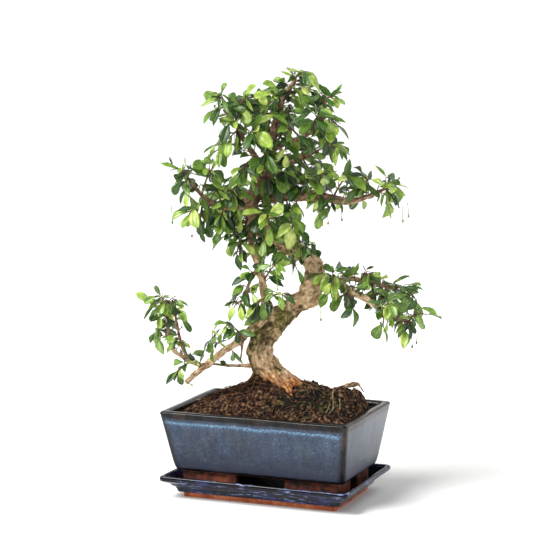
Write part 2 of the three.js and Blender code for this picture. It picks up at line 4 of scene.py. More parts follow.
import bmesh
import bpy
import numpy as np
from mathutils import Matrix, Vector, kdtree, noise


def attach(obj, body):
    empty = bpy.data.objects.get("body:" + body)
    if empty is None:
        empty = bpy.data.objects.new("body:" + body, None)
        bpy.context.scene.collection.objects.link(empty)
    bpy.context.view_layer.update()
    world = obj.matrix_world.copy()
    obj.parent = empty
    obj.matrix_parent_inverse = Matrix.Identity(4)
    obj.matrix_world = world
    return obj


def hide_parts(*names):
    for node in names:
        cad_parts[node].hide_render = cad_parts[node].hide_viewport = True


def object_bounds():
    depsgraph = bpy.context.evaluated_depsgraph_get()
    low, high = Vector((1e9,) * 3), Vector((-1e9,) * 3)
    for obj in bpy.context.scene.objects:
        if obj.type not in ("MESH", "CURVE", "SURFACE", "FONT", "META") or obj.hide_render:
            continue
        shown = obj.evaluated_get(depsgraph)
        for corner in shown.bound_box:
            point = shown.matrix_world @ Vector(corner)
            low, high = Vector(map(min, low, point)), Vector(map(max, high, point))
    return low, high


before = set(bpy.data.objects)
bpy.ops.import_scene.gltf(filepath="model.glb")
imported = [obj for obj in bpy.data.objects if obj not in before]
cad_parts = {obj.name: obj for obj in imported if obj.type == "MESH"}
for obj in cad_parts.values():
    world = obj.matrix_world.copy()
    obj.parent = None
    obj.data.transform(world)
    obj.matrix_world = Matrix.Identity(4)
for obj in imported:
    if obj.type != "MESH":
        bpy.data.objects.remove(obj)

cad_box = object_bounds()
MM = 0.001  # shapes are drawn in millimetres and turned to metres where they are placed


# Camera. A long lens, a little higher than the top of the tree and to the right of its front.

aim = Vector((0, 0, 222.2)) * MM
distance = 1.808
turn, rise = math.radians(21.7), math.radians(7.4)
back = Vector((math.sin(turn) * math.cos(rise), -math.cos(turn) * math.cos(rise), math.sin(rise)))
camera = bpy.data.objects.new("camera", bpy.data.cameras.new("camera"))
camera.data.lens = 117.1
camera.data.sensor_width = 36
camera.location = aim + back * distance
camera.rotation_euler = back.to_track_quat("Z", "Y").to_euler()
bpy.context.scene.collection.objects.link(camera)
bpy.context.scene.camera = camera
bpy.context.scene.view_settings.view_transform = "Standard"


# Studio. A white paper floor in a round white room, dimmer overhead and in front, and one broad
# soft light from above the left of the front, with weaker lamps on both sides and behind.

def linear(colour):
    """An sRGB hex colour as linear values."""
    channels = [int(colour[i:i + 2], 16) / 255 for i in (1, 3, 5)]
    return [c / 12.92 if c <= 0.04045 else ((c + 0.055) / 1.055) ** 2.4 for c in channels] + [1]


def new_material(name):
    """An empty node material and its tree."""
    material = bpy.data.materials.new(name)
    material.use_nodes = True
    material.node_tree.nodes.clear()
    return material, material.node_tree


def add(tree, kind, inputs=None, **settings):
    """Adds a node. Inputs are socket values or the sockets that feed them; stops are a ramp's."""
    node = tree.nodes.new("ShaderNode" + kind)
    stops = settings.pop("stops", None)
    for name, value in settings.items():
        setattr(node, name, value)
    for name, value in (inputs or {}).items():
        if isinstance(value, bpy.types.NodeSocket):
            tree.links.new(value, node.inputs[name])
        else:
            node.inputs[name].default_value = value
    if stops:
        while len(node.color_ramp.elements) < len(stops):
            node.color_ramp.elements.new(0.5)
        for element, (place, colour) in zip(node.color_ramp.elements, stops):
            element.position = place
            element.color = linear(colour)
    return node


def new_piece(name, bm, materials):
    """The object of a finished mesh, at the origin."""
    mesh = bpy.data.meshes.new(name)
    bm.to_mesh(mesh)
    bm.free()
    piece = bpy.data.objects.new(name, mesh)
    for material in materials:
        mesh.materials.append(material)
    bpy.context.scene.collection.objects.link(piece)
    return piece


FLOOR_HALF = 20  # metres
paper, tree = new_material("white_paper_floor")
shader = add(tree, "BsdfPrincipled", {"Base Color": linear("#f9f9f8"), "Roughness": 0.9})
add(tree, "OutputMaterial", {"Surface": shader.outputs[0]})

bm = bmesh.new()
bmesh.ops.create_grid(bm, x_segments=2, y_segments=2, size=FLOOR_HALF)
floor = new_piece("floor", bm, [paper])

world = bpy.data.worlds.new("studio_room")
world.use_nodes = True
world.node_tree.nodes.clear()
coords = add(world.node_tree, "TexCoord").outputs["Generated"]
direction = add(world.node_tree, "SeparateXYZ", {"Vector": coords})
walls = add(world.node_tree, "ValToRGB", {"Fac": direction.outputs["Z"]},
            stops=[(0.2, "#ffffff"), (0.55, "#a8a8a8"), (1.0, "#949494")])
front = add(world.node_tree, "MapRange", {
    "Value": direction.outputs["Y"], "From Min": -0.7, "From Max": 0.1, "To Min": 0.3, "To Max": 1.03})
skirting = add(world.node_tree, "MapRange", {
    "Value": direction.outputs["Z"], "From Min": 0.3, "From Max": 0.14, "To Max": 1.03})
strength = add(world.node_tree, "Math", {0: front.outputs[0], 1: skirting.outputs[0]}, operation="MAXIMUM")
sky = add(world.node_tree, "Background", {"Color": walls.outputs[0], "Strength": strength.outputs[0]})
add(world.node_tree, "OutputWorld", {"Surface": sky.outputs[0]})
bpy.context.scene.world = world

# Each lamp's name, kind, place in metres, size (the sun's is an angle) and power
for name, kind, place, size, power in [
    ("broad_light", "SUN", (-1.0, -1.15, 2.0), math.radians(36), 4.2),
    ("left_lamp", "AREA", (-1.1, -1.3, 1.7), 0.7, 6),
    ("right_lamp", "AREA", (1.5, -0.9, 1.0), 0.8, 3),
    ("back_lamp", "AREA", (0.9, 1.6, 1.7), 1.4, 14),
]:
    lamp = bpy.data.objects.new(name, bpy.data.lights.new(name, kind))
    if kind == "SUN":
        lamp.data.angle = size
    else:
        lamp.data.size = size
    lamp.data.energy = power
    lamp.location = place
    lamp.rotation_euler = (Vector(place) - aim).to_track_quat("Z", "Y").to_euler()
    bpy.context.scene.collection.objects.link(lamp)


# Drip tray. Pressed red clay, dipped in a dark indigo gloss glaze and fired; the foot it
# stands on is wiped bare. Two glazed steps rise to a thick rolled rim round a sunk floor.

TRAY_HALF = (100.7, 68.5)
TRAY_BARE_TOP = 5.2  # bare clay up to this height
TRAY_DUSTY_TOP = 9.8  # and dust on level glaze up to this one
noise.seed_set(5)  # else Blender seeds noise vectors by the clock, and no two runs agree


def rounded_loft(stations, corner_steps, spacing):
    """A rounded rectangle drawn through stations of half length, half width, corner and height."""
    round_off = 0.4  # share of the plain square that its corners take
    bm = bmesh.new()
    bmesh.ops.create_grid(bm, x_segments=1, y_segments=1, size=1)
    bmesh.ops.bevel(bm, geom=bm.verts[:], offset=round_off, offset_type="OFFSET", segments=corner_steps,
                    profile=0.5, affect="VERTICES", material=-1)
    slot = bm.verts.layers.int.new("slot")
    spokes = []
    for vert in bm.verts:
        side = Vector((math.copysign(1, vert.co.x), math.copysign(1, vert.co.y)))
        spokes.append((side, (vert.co.xy - side * (1 - round_off)) / round_off))
        vert[slot] = len(spokes) - 1
    face = next(iter(bm.faces))
    for step, (half_x, half_y, corner, height) in enumerate(stations):
        if step:
            inner = face if step > 1 else None
            made = bmesh.ops.extrude_face_region(bm, geom=[face])["geom"]
            face = next(item for item in made if isinstance(item, bmesh.types.BMFace))
            if inner:
                bmesh.ops.delete(bm, geom=[inner], context="FACES_ONLY")
        for vert in face.verts:
            side, spoke = spokes[vert[slot]]
            vert.co = (side.x * (half_x - corner) + spoke.x * corner,
                       side.y * (half_y - corner) + spoke.y * corner, height)
    # Cuts the long faces into small squares, each band of a wall by itself
    for axis in (0, 1, 2):
        bands = {}
        for edge in bm.edges:
            run = edge.verts[1].co - edge.verts[0].co
            if abs(run[axis]) > spacing * 1.5 and abs(run[axis]) > 0.7 * run.length:
                if axis == 2:
                    key = round(abs(run.z) / spacing), round(edge.verts[0].co.z + edge.verts[1].co.z)
                else:
                    key = round(TRAY_HALF[axis] * 2 / spacing), 0
                bands.setdefault(key, []).append(edge)
        for (cuts, _), edges in bands.items():
            bmesh.ops.subdivide_edges(bm, edges=edges, cuts=cuts, use_grid_fill=True)
    bmesh.ops.recalc_face_normals(bm, faces=bm.faces[:])
    return bm


def soften_rings(bm, radius, least_turn):
    """Rounds over the level edges of a loft that turn by more than an angle."""
    rings = [edge for edge in bm.edges if len(edge.link_faces) == 2
             and abs(edge.verts[0].co.z - edge.verts[1].co.z) < 1e-5
             and edge.calc_face_angle() > math.radians(least_turn)]
    bmesh.ops.bevel(bm, geom=rings, offset=radius, offset_type="OFFSET", segments=3, profile=0.5,
                    affect="EDGES", clamp_overlap=True, material=-1)


def throw(bm, scale, sway):
    """The slight waviness of a pressed clay wall, then millimetres turned to metres."""
    for vert in bm.verts:
        vert.co += noise.noise_vector(vert.co * scale) * sway
        vert.co *= MM
    for face in bm.faces:
        face.smooth = True


half_x, half_y = TRAY_HALF
bm = rounded_loft([
    (82, 49.5, 2.5, 0), (82, 49.5, 2.5, 5), (86.5, 54, 3, 5.6),
    (half_x - 12.2, half_y - 12.5, 3, 10.5),
    (half_x - 8.7, half_y - 9, 3, 13), (half_x - 7.7, half_y - 8, 3, 14.5),
    (half_x - 2.5, half_y - 2.5, 3, 17), (half_x - 0.5, half_y - 0.5, 3.5, 18.2),
    (half_x, half_y, 4, 20.5), (half_x - 0.8, half_y - 0.8, 4, 22.5),
    (half_x - 2.5, half_y - 2.5, 4, 23), (half_x - 4.3, half_y - 4.3, 3.5, 22.2),
    (half_x - 6.2, half_y - 6.2, 3, 19.5), (half_x - 12.2, half_y - 12.2, 3, 14.2),
    (half_x - 16.2, half_y - 16.2, 3, 9),
], corner_steps=5, spacing=5)
soften_rings(bm, radius=0.55, least_turn=14)
throw(bm, scale=0.02, sway=0.35)
for face in bm.faces:
    middle = face.calc_center_median()
    if middle.z < TRAY_BARE_TOP * MM:
        face.material_index = 1
    elif face.normal.z > 0.9 and middle.z < TRAY_DUSTY_TOP * MM:
        face.material_index = 2

# Indigo gloss glaze over red clay: nearly black where it is thick, with blue and violet
# clouds and pale drops where it broke over the steps.
indigo_glaze, tree = new_material("indigo_gloss_glaze")
coords = add(tree, "TexCoord").outputs["Object"]
level = add(tree, "Mapping", {"Vector": coords, "Scale": (0.3, 0.3, 1.6)}).outputs[0]
clouds = add(tree, "TexNoise", {"Vector": level, "Scale": 80, "Detail": 4, "Roughness": 0.6})
drops = add(tree, "TexNoise", {"Vector": level, "Scale": 230, "Detail": 5, "Roughness": 0.65})
base = add(tree, "ValToRGB", {"Fac": clouds.outputs[0]},
           stops=[(0.38, "#030307"), (0.5, "#080b1a"), (0.6, "#161d40"), (0.7, "#3a3762")])
pale = add(tree, "ValToRGB", {"Fac": drops.outputs[0]}, stops=[(0.56, "#000000"), (0.67, "#ffffff")])
colour = add(tree, "Mix", {0: pale.outputs[0], 6: base.outputs[0], 7: linear("#7f92c4")}, data_type="RGBA")
pits = add(tree, "Bump", {"Height": drops.outputs[0], "Strength": 0.25, "Distance": 0.2 * MM})
shader = add(tree, "BsdfPrincipled", {
    "Base Color": colour.outputs[2], "Roughness": 0.06, "IOR": 1.38, "Normal": pits.outputs[0]})
add(tree, "OutputMaterial", {"Surface": shader.outputs[0]})

# Bare red clay, fired and unglazed: matt, with grit and paler dust.
red_clay, tree = new_material("bare_red_clay")
coords = add(tree, "TexCoord").outputs["Object"]
grit = add(tree, "TexNoise", {"Vector": coords, "Scale": 600, "Detail": 4, "Roughness": 0.7})
stains = add(tree, "TexNoise", {"Vector": coords, "Scale": 60, "Detail": 3})
base = add(tree, "ValToRGB", {"Fac": stains.outputs[0]},
           stops=[(0.35, "#a5532f"), (0.5, "#cf7344"), (0.68, "#e69a6c")])
specks = add(tree, "ValToRGB", {"Fac": grit.outputs[0]}, stops=[(0.35, "#b8a090"), (0.6, "#ffffff")])
colour = add(tree, "Mix", {0: 1.0, 6: base.outputs[0], 7: specks.outputs[0]},
             data_type="RGBA", blend_type="MULTIPLY")
bumps = add(tree, "Bump", {"Height": grit.outputs[0], "Strength": 0.5, "Distance": 0.3 * MM})
shader = add(tree, "BsdfPrincipled", {
    "Base Color": colour.outputs[2], "Roughness": 0.85, "Normal": bumps.outputs[0]})
add(tree, "OutputMaterial", {"Surface": shader.outputs[0]})

# The tray's sunk floor: the same glaze under a dull film of lime and soil dust.
dusty_glaze, tree = new_material("dusty_tray_floor")
coords = add(tree, "TexCoord").outputs["Object"]
film = add(tree, "TexNoise", {"Vector": coords, "Scale": 130, "Detail": 4, "Roughness": 0.6})
colour = add(tree, "ValToRGB", {"Fac": film.outputs[0]},
             stops=[(0.35, "#060608"), (0.52, "#0d0e12"), (0.7, "#2a2622")])
shader = add(tree, "BsdfPrincipled", {
    "Base Color": colour.outputs[0], "Roughness": 0.75, "Specular IOR Level": 0.15})
add(tree, "OutputMaterial", {"Surface": shader.outputs[0]})

tray = new_piece("glazed_drip_tray", bm, [indigo_glaze, red_clay, dusty_glaze])
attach(tray, "root")
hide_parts("drip_tray")


# Pot. Pressed red clay with straight flared walls and a thick flat rim, dipped in a slate-blue
# glaze that ran thin over the rim, the corners and the foot edge, where it fired nearly black.

POT_HALF = (100, 69)
POT_BASE_HALF = (90.5, 50.5)
POT_FLOOR, POT_TOP = 35, 90
POT_BARE_TOP = 26.9  # bare clay up to this height, the underside
INSIDE_LOW, INSIDE_HIGH = (84, 44), (92, 61)


def pot_inside(height):
    """Half length and half width of the pot's inside at a height."""
    share = (height - POT_FLOOR) / (POT_TOP - POT_FLOOR)
    return [low + (high - low) * share for low, high in zip(INSIDE_LOW, INSIDE_HIGH)]


half_x, half_y = POT_HALF
base_x, base_y = POT_BASE_HALF
low_wall, high_wall = (base_x + 1.8, base_y + 2.6, 36), (half_x - 0.4, half_y - 0.7, 86.5)
lip_x, lip_y = pot_inside(88)
low_x, low_y = pot_inside(39)
bm = rounded_loft([
    (base_x - 4, base_y - 4, 4, 26), (base_x - 1, base_y - 1, 5, 27.2),
    (base_x + 0.6, base_y + 0.7, 5, 30), (*low_wall[:2], 4.5, low_wall[2]),
    (*high_wall[:2], 4, high_wall[2]), (half_x, half_y, 4, 88.2),
    (half_x - 0.8, half_y - 0.8, 4, 89.4), (half_x - 2.4, half_y - 2.4, 4, POT_TOP),
    (lip_x + 2.6, lip_y + 2.6, 4, POT_TOP), (lip_x + 1, lip_y + 1, 4, 89.4), (lip_x, lip_y, 4, 88),
    (low_x, low_y, 6, 39), (low_x - 4, low_y - 4, 6, POT_FLOOR),
], corner_steps=6, spacing=5)
soften_rings(bm, radius=0.7, least_turn=10)
from_corner = bm.verts.layers.float.new("from_corner")
for vert in bm.verts:
    share = (vert.co.z - low_wall[2]) / (high_wall[2] - low_wall[2])
    wall_x, wall_y = (low + (high - low) * share for low, high in zip(low_wall[:2], high_wall[:2]))
    vert[from_corner] = max(wall_x - abs(vert.co.x), wall_y - abs(vert.co.y)) / 10
for face in bm.faces:
    face.material_index = 1 if face.calc_center_median().z < POT_BARE_TOP else 0
throw(bm, scale=0.018, sway=0.5)

# Slate-blue glaze with a satin gloss: fine blue mottling of 1 to 3 mm, a speckled pale-blue
# band under the rim of the long walls, darker lower down, a lighter grey strip at the bottom
# of the wall that is a painted reflection, and a thin brown-black break on the rim, the
# corners and the lowest edge.
slate_glaze, tree = new_material("slate_blue_glaze")
coords = add(tree, "TexCoord").outputs["Object"]
height = add(tree, "SeparateXYZ", {"Vector": coords}).outputs["Z"]
corner = add(tree, "Attribute", attribute_name="from_corner").outputs["Fac"]
clouds = add(tree, "TexNoise", {"Vector": coords, "Scale": 38, "Detail": 3, "Roughness": 0.55}).outputs[0]
mottle = add(tree, "TexNoise", {"Vector": coords, "Scale": 560, "Detail": 5, "Roughness": 0.75}).outputs[0]
crystals = add(tree, "TexNoise", {"Vector": coords, "Scale": 1000, "Detail": 3, "Roughness": 0.6}).outputs[0]
mixed = add(tree, "Mix", {0: 0.25, 2: mottle, 3: clouds}, data_type="FLOAT").outputs[0]
body = add(tree, "ValToRGB", {"Fac": mixed},
           stops=[(0.36, "#101826"), (0.45, "#15253a"), (0.53, "#1e334e"), (0.62, "#304d6e"),
                  (0.7, "#7f9ab6")]).outputs[0]
wobble = add(tree, "Math", {0: clouds, 1: 4.5 * MM}, operation="MULTIPLY").outputs[0]
level = add(tree, "Math", {0: height, 1: wobble}, operation="ADD").outputs[0]
band = add(tree, "ValToRGB", {"Fac": add(tree, "MapRange", {
    "Value": level, "From Min": 74 * MM, "From Max": 88 * MM}).outputs[0]},
    stops=[(0.0, "#000000"), (0.3, "#505050"), (0.52, "#ffffff"), (0.64, "#000000")]).outputs[0]
sparks = add(tree, "MapRange", {"Value": crystals, "From Min": 0.46, "From Max": 0.6}).outputs[0]
depth = add(tree, "SeparateXYZ", {"Vector": coords}).outputs["Y"]
across = add(tree, "Math", {0: depth}, operation="ABSOLUTE").outputs[0]
long_wall = add(tree, "MapRange", {
    "Value": across, "From Min": 61 * MM, "From Max": 64.5 * MM}).outputs[0]
speckled = add(tree, "Math", {0: band, 1: sparks}, operation="MULTIPLY").outputs[0]
lit = add(tree, "Math", {0: speckled, 1: long_wall}, operation="MULTIPLY").outputs[0]
sunk = add(tree, "MapRange", {
    "Value": level, "From Min": 64 * MM, "From Max": 46 * MM, "To Max": 0.4}).outputs[0]
shaded = add(tree, "Mix", {0: sunk, 6: body, 7: linear("#141a24")}, data_type="RGBA").outputs[2]
# Painted reflection: the strip at the bottom of the wall is lightened to grey as if lit by reflected light;
# it is also more satin
low_reflection_strip = add(tree, "MapRange", {"Value": level, "From Min": 46 * MM, "From Max": 36 * MM}).outputs[0]
thick = add(tree, "Math", {0: low_reflection_strip, 1: 0.85}, operation="MULTIPLY").outputs[0]
run = add(tree, "Mix", {0: thick, 6: shaded, 7: linear("#3f4252")}, data_type="RGBA").outputs[2]
banded = add(tree, "Mix", {0: lit, 6: run, 7: linear("#86b8e0")}, data_type="RGBA").outputs[2]
rim = add(tree, "MapRange", {"Value": level, "From Min": 84 * MM, "From Max": 86.3 * MM}).outputs[0]
foot = add(tree, "MapRange", {"Value": level, "From Min": 33 * MM, "From Max": 30.5 * MM}).outputs[0]
edge = add(tree, "MapRange", {"Value": corner, "From Min": 0.85, "From Max": 0.25}).outputs[0]
level_edges = add(tree, "Math", {0: rim, 1: foot}, operation="MAXIMUM").outputs[0]
broken = add(tree, "Math", {0: level_edges, 1: edge}, operation="MAXIMUM").outputs[0]
dark = add(tree, "ValToRGB", {"Fac": clouds},
           stops=[(0.38, "#060607"), (0.54, "#120e0e"), (0.66, "#35251e")]).outputs[0]
colour = add(tree, "Mix", {0: broken, 6: banded, 7: dark}, data_type="RGBA").outputs[2]
upright = add(tree, "Mapping", {"Vector": coords, "Scale": (1, 1, 0.12)}).outputs[0]
runs = add(tree, "TexNoise", {"Vector": upright, "Scale": 160, "Detail": 3, "Roughness": 0.6}).outputs[0]
skin = add(tree, "Mix", {0: 0.55, 2: mottle, 3: runs}, data_type="FLOAT").outputs[0]
pits = add(tree, "Bump", {"Height": skin, "Strength": 0.6, "Distance": 0.5 * MM})
gloss = add(tree, "MapRange", {
    "Value": mottle, "From Min": 0.3, "From Max": 0.7, "To Min": 0.1, "To Max": 0.22})
matt = add(tree, "MapRange", {"Value": low_reflection_strip, "To Max": 0.25}).outputs[0]
satin = add(tree, "Math", {0: gloss.outputs[0], 1: matt}, operation="ADD").outputs[0]
thin = add(tree, "MapRange", {"Value": broken, "From Min": 0, "From Max": 1, "To Min": 0.5, "To Max": 0.22})
dull = add(tree, "MapRange", {"Value": sunk, "From Max": 0.4, "To Min": 1, "To Max": 0.72}).outputs[0]
uneven = add(tree, "MapRange", {
    "Value": skin, "From Min": 0.38, "From Max": 0.62, "To Min": 0.7, "To Max": 1.3}).outputs[0]
even_sheen = add(tree, "Math", {0: thin.outputs[0], 1: dull}, operation="MULTIPLY").outputs[0]
sheen = add(tree, "Math", {0: even_sheen, 1: uneven}, operation="MULTIPLY")
shader = add(tree, "BsdfPrincipled", {
    "Base Color": colour, "Roughness": satin, "IOR": 1.6, "Specular IOR Level": sheen.outputs[0],
    "Normal": pits.outputs[0]})
add(tree, "OutputMaterial", {"Surface": shader.outputs[0]})

pot = new_piece("glazed_pot", bm, [slate_glaze, red_clay])
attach(pot, "root")
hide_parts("pot")


# Pot feet. Four L-shaped corner feet of the same red clay, pressed with the pot and left
# bare. Their outer faces stand back from the wall above.

FOOT = {"out": (83.8, 45), "leg": (58, 35), "thick": 9, "bottom": 9.3, "top": 27.5}
bm = bmesh.new()
for side_x in (-1, 1):
    for side_y in (-1, 1):
        out_x, out_y = FOOT["out"]
        in_x, in_y = out_x - FOOT["thick"], out_y - FOOT["thick"]
        end_x, end_y = out_x - FOOT["leg"][0], out_y - FOOT["leg"][1]
        outline = [(out_x, out_y), (end_x, out_y), (end_x, in_y), (in_x, in_y), (in_x, end_y),
                   (out_x, end_y)]
        corners = [bm.verts.new((side_x * x, side_y * y, FOOT["bottom"])) for x, y in outline]
        sole = bm.faces.new(corners)
        made = bmesh.ops.extrude_face_region(bm, geom=[sole])["geom"]
        bmesh.ops.translate(bm, vec=(0, 0, FOOT["top"] - FOOT["bottom"]),
                            verts=[item for item in made if isinstance(item, bmesh.types.BMVert)])
bmesh.ops.recalc_face_normals(bm, faces=bm.faces[:])
bmesh.ops.bevel(bm, geom=bm.edges[:], offset=1.1, offset_type="OFFSET", segments=3, profile=0.5,
                affect="EDGES", clamp_overlap=True, material=-1)
throw(bm, scale=0.05, sway=0.3)

# Red clay of the feet, handled with glaze on the fingers and stained by years of damp,
# and darker all over with painted shade, as the feet stand in the shadow of the pot.
stained_and_shaded_clay, tree = new_material("stained_and_shaded_red_clay")
coords = add(tree, "TexCoord").outputs["Object"]
grit = add(tree, "TexNoise", {"Vector": coords, "Scale": 500, "Detail": 4, "Roughness": 0.7})
smears = add(tree, "TexNoise", {"Vector": coords, "Scale": 75, "Detail": 5, "Roughness": 0.65})
colour = add(tree, "ValToRGB", {"Fac": smears.outputs[0]},
             stops=[(0.4, "#150b09"), (0.48, "#4b2115"), (0.58, "#7c3a23"), (0.72, "#9c5334")])
bumps = add(tree, "Bump", {"Height": grit.outputs[0], "Strength": 0.5, "Distance": 0.3 * MM})
shader = add(tree, "BsdfPrincipled", {
    "Base Color": colour.outputs[0], "Roughness": 0.7, "Normal": bumps.outputs[0]})
add(tree, "OutputMaterial", {"Surface": shader.outputs[0]})

feet = new_piece("pot_feet", bm, [stained_and_shaded_clay])
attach(feet, "root")
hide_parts("pot")


# Drain screens. Two squares of moulded black plastic net, laid over the drain holes
# before the soil goes in. The plain screens of the frame are kept.

# Black polypropylene, greyed by soil dust.
screen_plastic, tree = new_material("black_moulded_plastic")
coords = add(tree, "TexCoord").outputs["Object"]
dust = add(tree, "TexNoise", {"Vector": coords, "Scale": 300, "Detail": 4})
colour = add(tree, "ValToRGB", {"Fac": dust.outputs[0]}, stops=[(0.4, "#1d1e20"), (0.7, "#3f3a35")])
shader = add(tree, "BsdfPrincipled", {"Base Color": colour.outputs[0], "Roughness": 0.55})
add(tree, "OutputMaterial", {"Surface": shader.outputs[0]})
for name in ("drain_mesh_left", "drain_mesh_right"):
    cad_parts[name].data.materials.clear()
    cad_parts[name].data.materials.append(screen_plastic)


# Soil. Dark peat and fine bark heaped under the trunk, fibrous and crumbly, with moss at the
# front right and the back left. It fills the pot to 6 mm under the rim.

SOIL_EDGE = 84
SOIL_RISE = 34  # of the heap over its edge, without humps
SOIL_BOTTOM = 35.3
# Humps and hollows: x, y, height and spread. The last two are a shallow hollow at the back
# left and a bed under the slab of bark, which the frame's plain mound doesn't have.
SOIL_HUMPS = [
    (-17, -11, 9, 10), (19, -17, -9, 10), (-66, 0, 4, 20), (76, 6, 13, 14), (81, 27, 15, 12),
    (-60, 14, -6, 22), (76, 29, 6, 7),
]


def mound(x, y):
    """Height of the soil over a point, in millimetres."""
    half_x, half_y = pot_inside(SOIL_EDGE)
    along_pot = 1 - abs(x / half_x) ** (2.6 if x > 0 else 1.8)
    across_pot = max(1 - abs(y / half_y) ** 2.2, 0)
    humps = sum(height * math.exp(-((x - hump_x) ** 2 + (y - hump_y) ** 2) / spread ** 2)
                for hump_x, hump_y, height, spread in SOIL_HUMPS)
    lumps = 1.3 * math.sin(0.21 * x + 1) * math.cos(0.27 * y) + 0.8 * math.sin(0.43 * x + 0.31 * y)
    off_wall = 1 - abs(x / half_x) ** 24
    return SOIL_EDGE + (SOIL_RISE * along_pot + humps * off_wall + lumps) * across_pot


def soil_surface(x, y):
    """The same with clods, crumbs and grit, in millimetres."""
    spot = Vector((x, y, 0))
    clods = noise.fractal(spot / 13, 0.9, 2.1, 3) * 2
    crumbs = 0.5 - noise.voronoi(spot / 4.4 + noise.noise_vector(spot / 9) * 0.5)[0][0]
    grit = 0.5 - noise.voronoi(spot / 1.9)[0][0]
    hollow = 4 * math.exp(-((x - 31) / 11) ** 2 - ((y + 22) / 8) ** 2)
    return mound(x, y) + clods + 2.2 * crumbs + 0.9 * grit - 0.9 - hollow


WALL_GAP = 0.3
half_x, half_y = (size - WALL_GAP for size in pot_inside(SOIL_EDGE))
low_x, low_y = (size - WALL_GAP for size in pot_inside(39))
bm = bmesh.new()
bmesh.ops.create_grid(bm, x_segments=160, y_segments=106, size=1)
moss = bm.verts.layers.float.new("moss")
damp_and_shadow = bm.verts.layers.float.new("damp_and_shadow")
for vert in bm.verts:
    x, y = vert.co.x * half_x, vert.co.y * half_y
    pull = 1 - 0.018 * (abs(vert.co.x) * abs(vert.co.y)) ** 12
    at_wall = max(abs(vert.co.x), abs(vert.co.y)) >= 0.999
    vert.co = (x * pull, y * pull, SOIL_EDGE if at_wall else soil_surface(x, y))
    patch = noise.noise(Vector((x, y, 7)) / 16) + 0.5 * noise.noise(Vector((x, y, 3)) / 5)
    front_right = math.exp(-((x - 46) / 32) ** 2 - ((y + 22) / 26) ** 2)
    back_left = math.exp(-((x + 72) / 15) ** 2 - ((y - 16) / 20) ** 2)
    vert[moss] = min(max(1.9 * front_right + 1.4 * back_left + 0.9 * patch - 0.35, 0), 1)
    # Painted shadow: blacker in the hollow under the root flare at the front right
    hollow = math.exp(-((x - 35) / 18) ** 2 - ((y + 28) / 15) ** 2)
    wet = noise.noise(Vector((x, y, 20)) / 19) + 0.4 * noise.noise(Vector((x, y, 11)) / 6)
    vert[damp_and_shadow] = min(max(1.3 * hollow + 1.5 * wet - 0.15, 0), 1)
made = bmesh.ops.extrude_edge_only(bm, edges=[edge for edge in bm.edges if edge.is_boundary])["geom"]
for vert in [item for item in made if isinstance(item, bmesh.types.BMVert)]:
    vert.co.x *= low_x / half_x
    vert.co.y *= low_y / half_y
    vert.co.z = SOIL_BOTTOM
bmesh.ops.edgeloop_fill(bm, edges=[item for item in made if isinstance(item, bmesh.types.BMEdge)])
bmesh.ops.recalc_face_normals(bm, faces=bm.faces[:])
for vert in bm.verts:
    vert.co *= MM
for face in bm.faces:
    face.smooth = face.normal.z > 0.05

# Peat and bark soil: dark peat with painted shade in the hollows, where it goes nearly black,
# red-brown fibres on the crumbs, olive moss where the moss attribute is high, blacker where
# it is damp, and a painted shadow in the hollow under the roots at the front right.
peat, tree = new_material("peat_and_bark_soil")
coords = add(tree, "TexCoord").outputs["Object"]
crumb = add(tree, "TexNoise", {"Vector": coords, "Scale": 270, "Detail": 5, "Roughness": 0.65}).outputs[0]
fibre = add(tree, "TexNoise", {
    "Vector": coords, "Scale": 150, "Detail": 5, "Roughness": 0.6, "Distortion": 1.5}).outputs[0]
# Painted shade: where the crumb noise is low, in the hollows of its bump, the soil goes nearly black
earth = add(tree, "ValToRGB", {"Fac": crumb},
            stops=[(0.39, "#030202"), (0.47, "#190f0a"), (0.54, "#3b271b"), (0.63, "#86674c")]).outputs[0]
reddish = add(tree, "ValToRGB", {"Fac": fibre}, stops=[(0.48, "#000000"), (0.62, "#8a8a8a")]).outputs[0]
ground = add(tree, "Mix", {0: reddish, 6: earth, 7: linear("#4f3526")}, data_type="RGBA").outputs[2]
green = add(tree, "ValToRGB", {"Fac": crumb},
            stops=[(0.39, "#040402"), (0.47, "#15150a"), (0.55, "#35331b"), (0.65, "#766b43")]).outputs[0]
mossy = add(tree, "Attribute", attribute_name="moss").outputs["Fac"]
grown = add(tree, "Mix", {0: mossy, 6: ground, 7: green}, data_type="RGBA").outputs[2]
# Blacker where the soil is damp, and in the painted shadow under the roots
damp_and_shadow = add(tree, "Attribute", attribute_name="damp_and_shadow").outputs["Fac"]
soaked_and_shadowed = add(tree, "Math", {0: damp_and_shadow, 1: 0.85}, operation="MULTIPLY").outputs[0]
colour = add(tree, "Mix", {0: soaked_and_shadowed, 6: grown, 7: linear("#0d0a08")}, data_type="RGBA").outputs[2]
bumps = add(tree, "Bump", {"Height": crumb, "Strength": 0.9, "Distance": 1.2 * MM})
shader = add(tree, "BsdfPrincipled", {
    "Base Color": colour, "Roughness": 0.95, "Specular IOR Level": 0.15, "Normal": bumps.outputs[0]})
add(tree, "OutputMaterial", {"Surface": shader.outputs[0]})
soil = new_piece("soil_mound", bm, [peat])
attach(soil, "root")
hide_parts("soil")


# Soil litter. Loose crumbs of bark, root fibres and a few dry straws that lie on the mound.

CRUMBS, FIBRES = 420, 480
tube_templates = {}


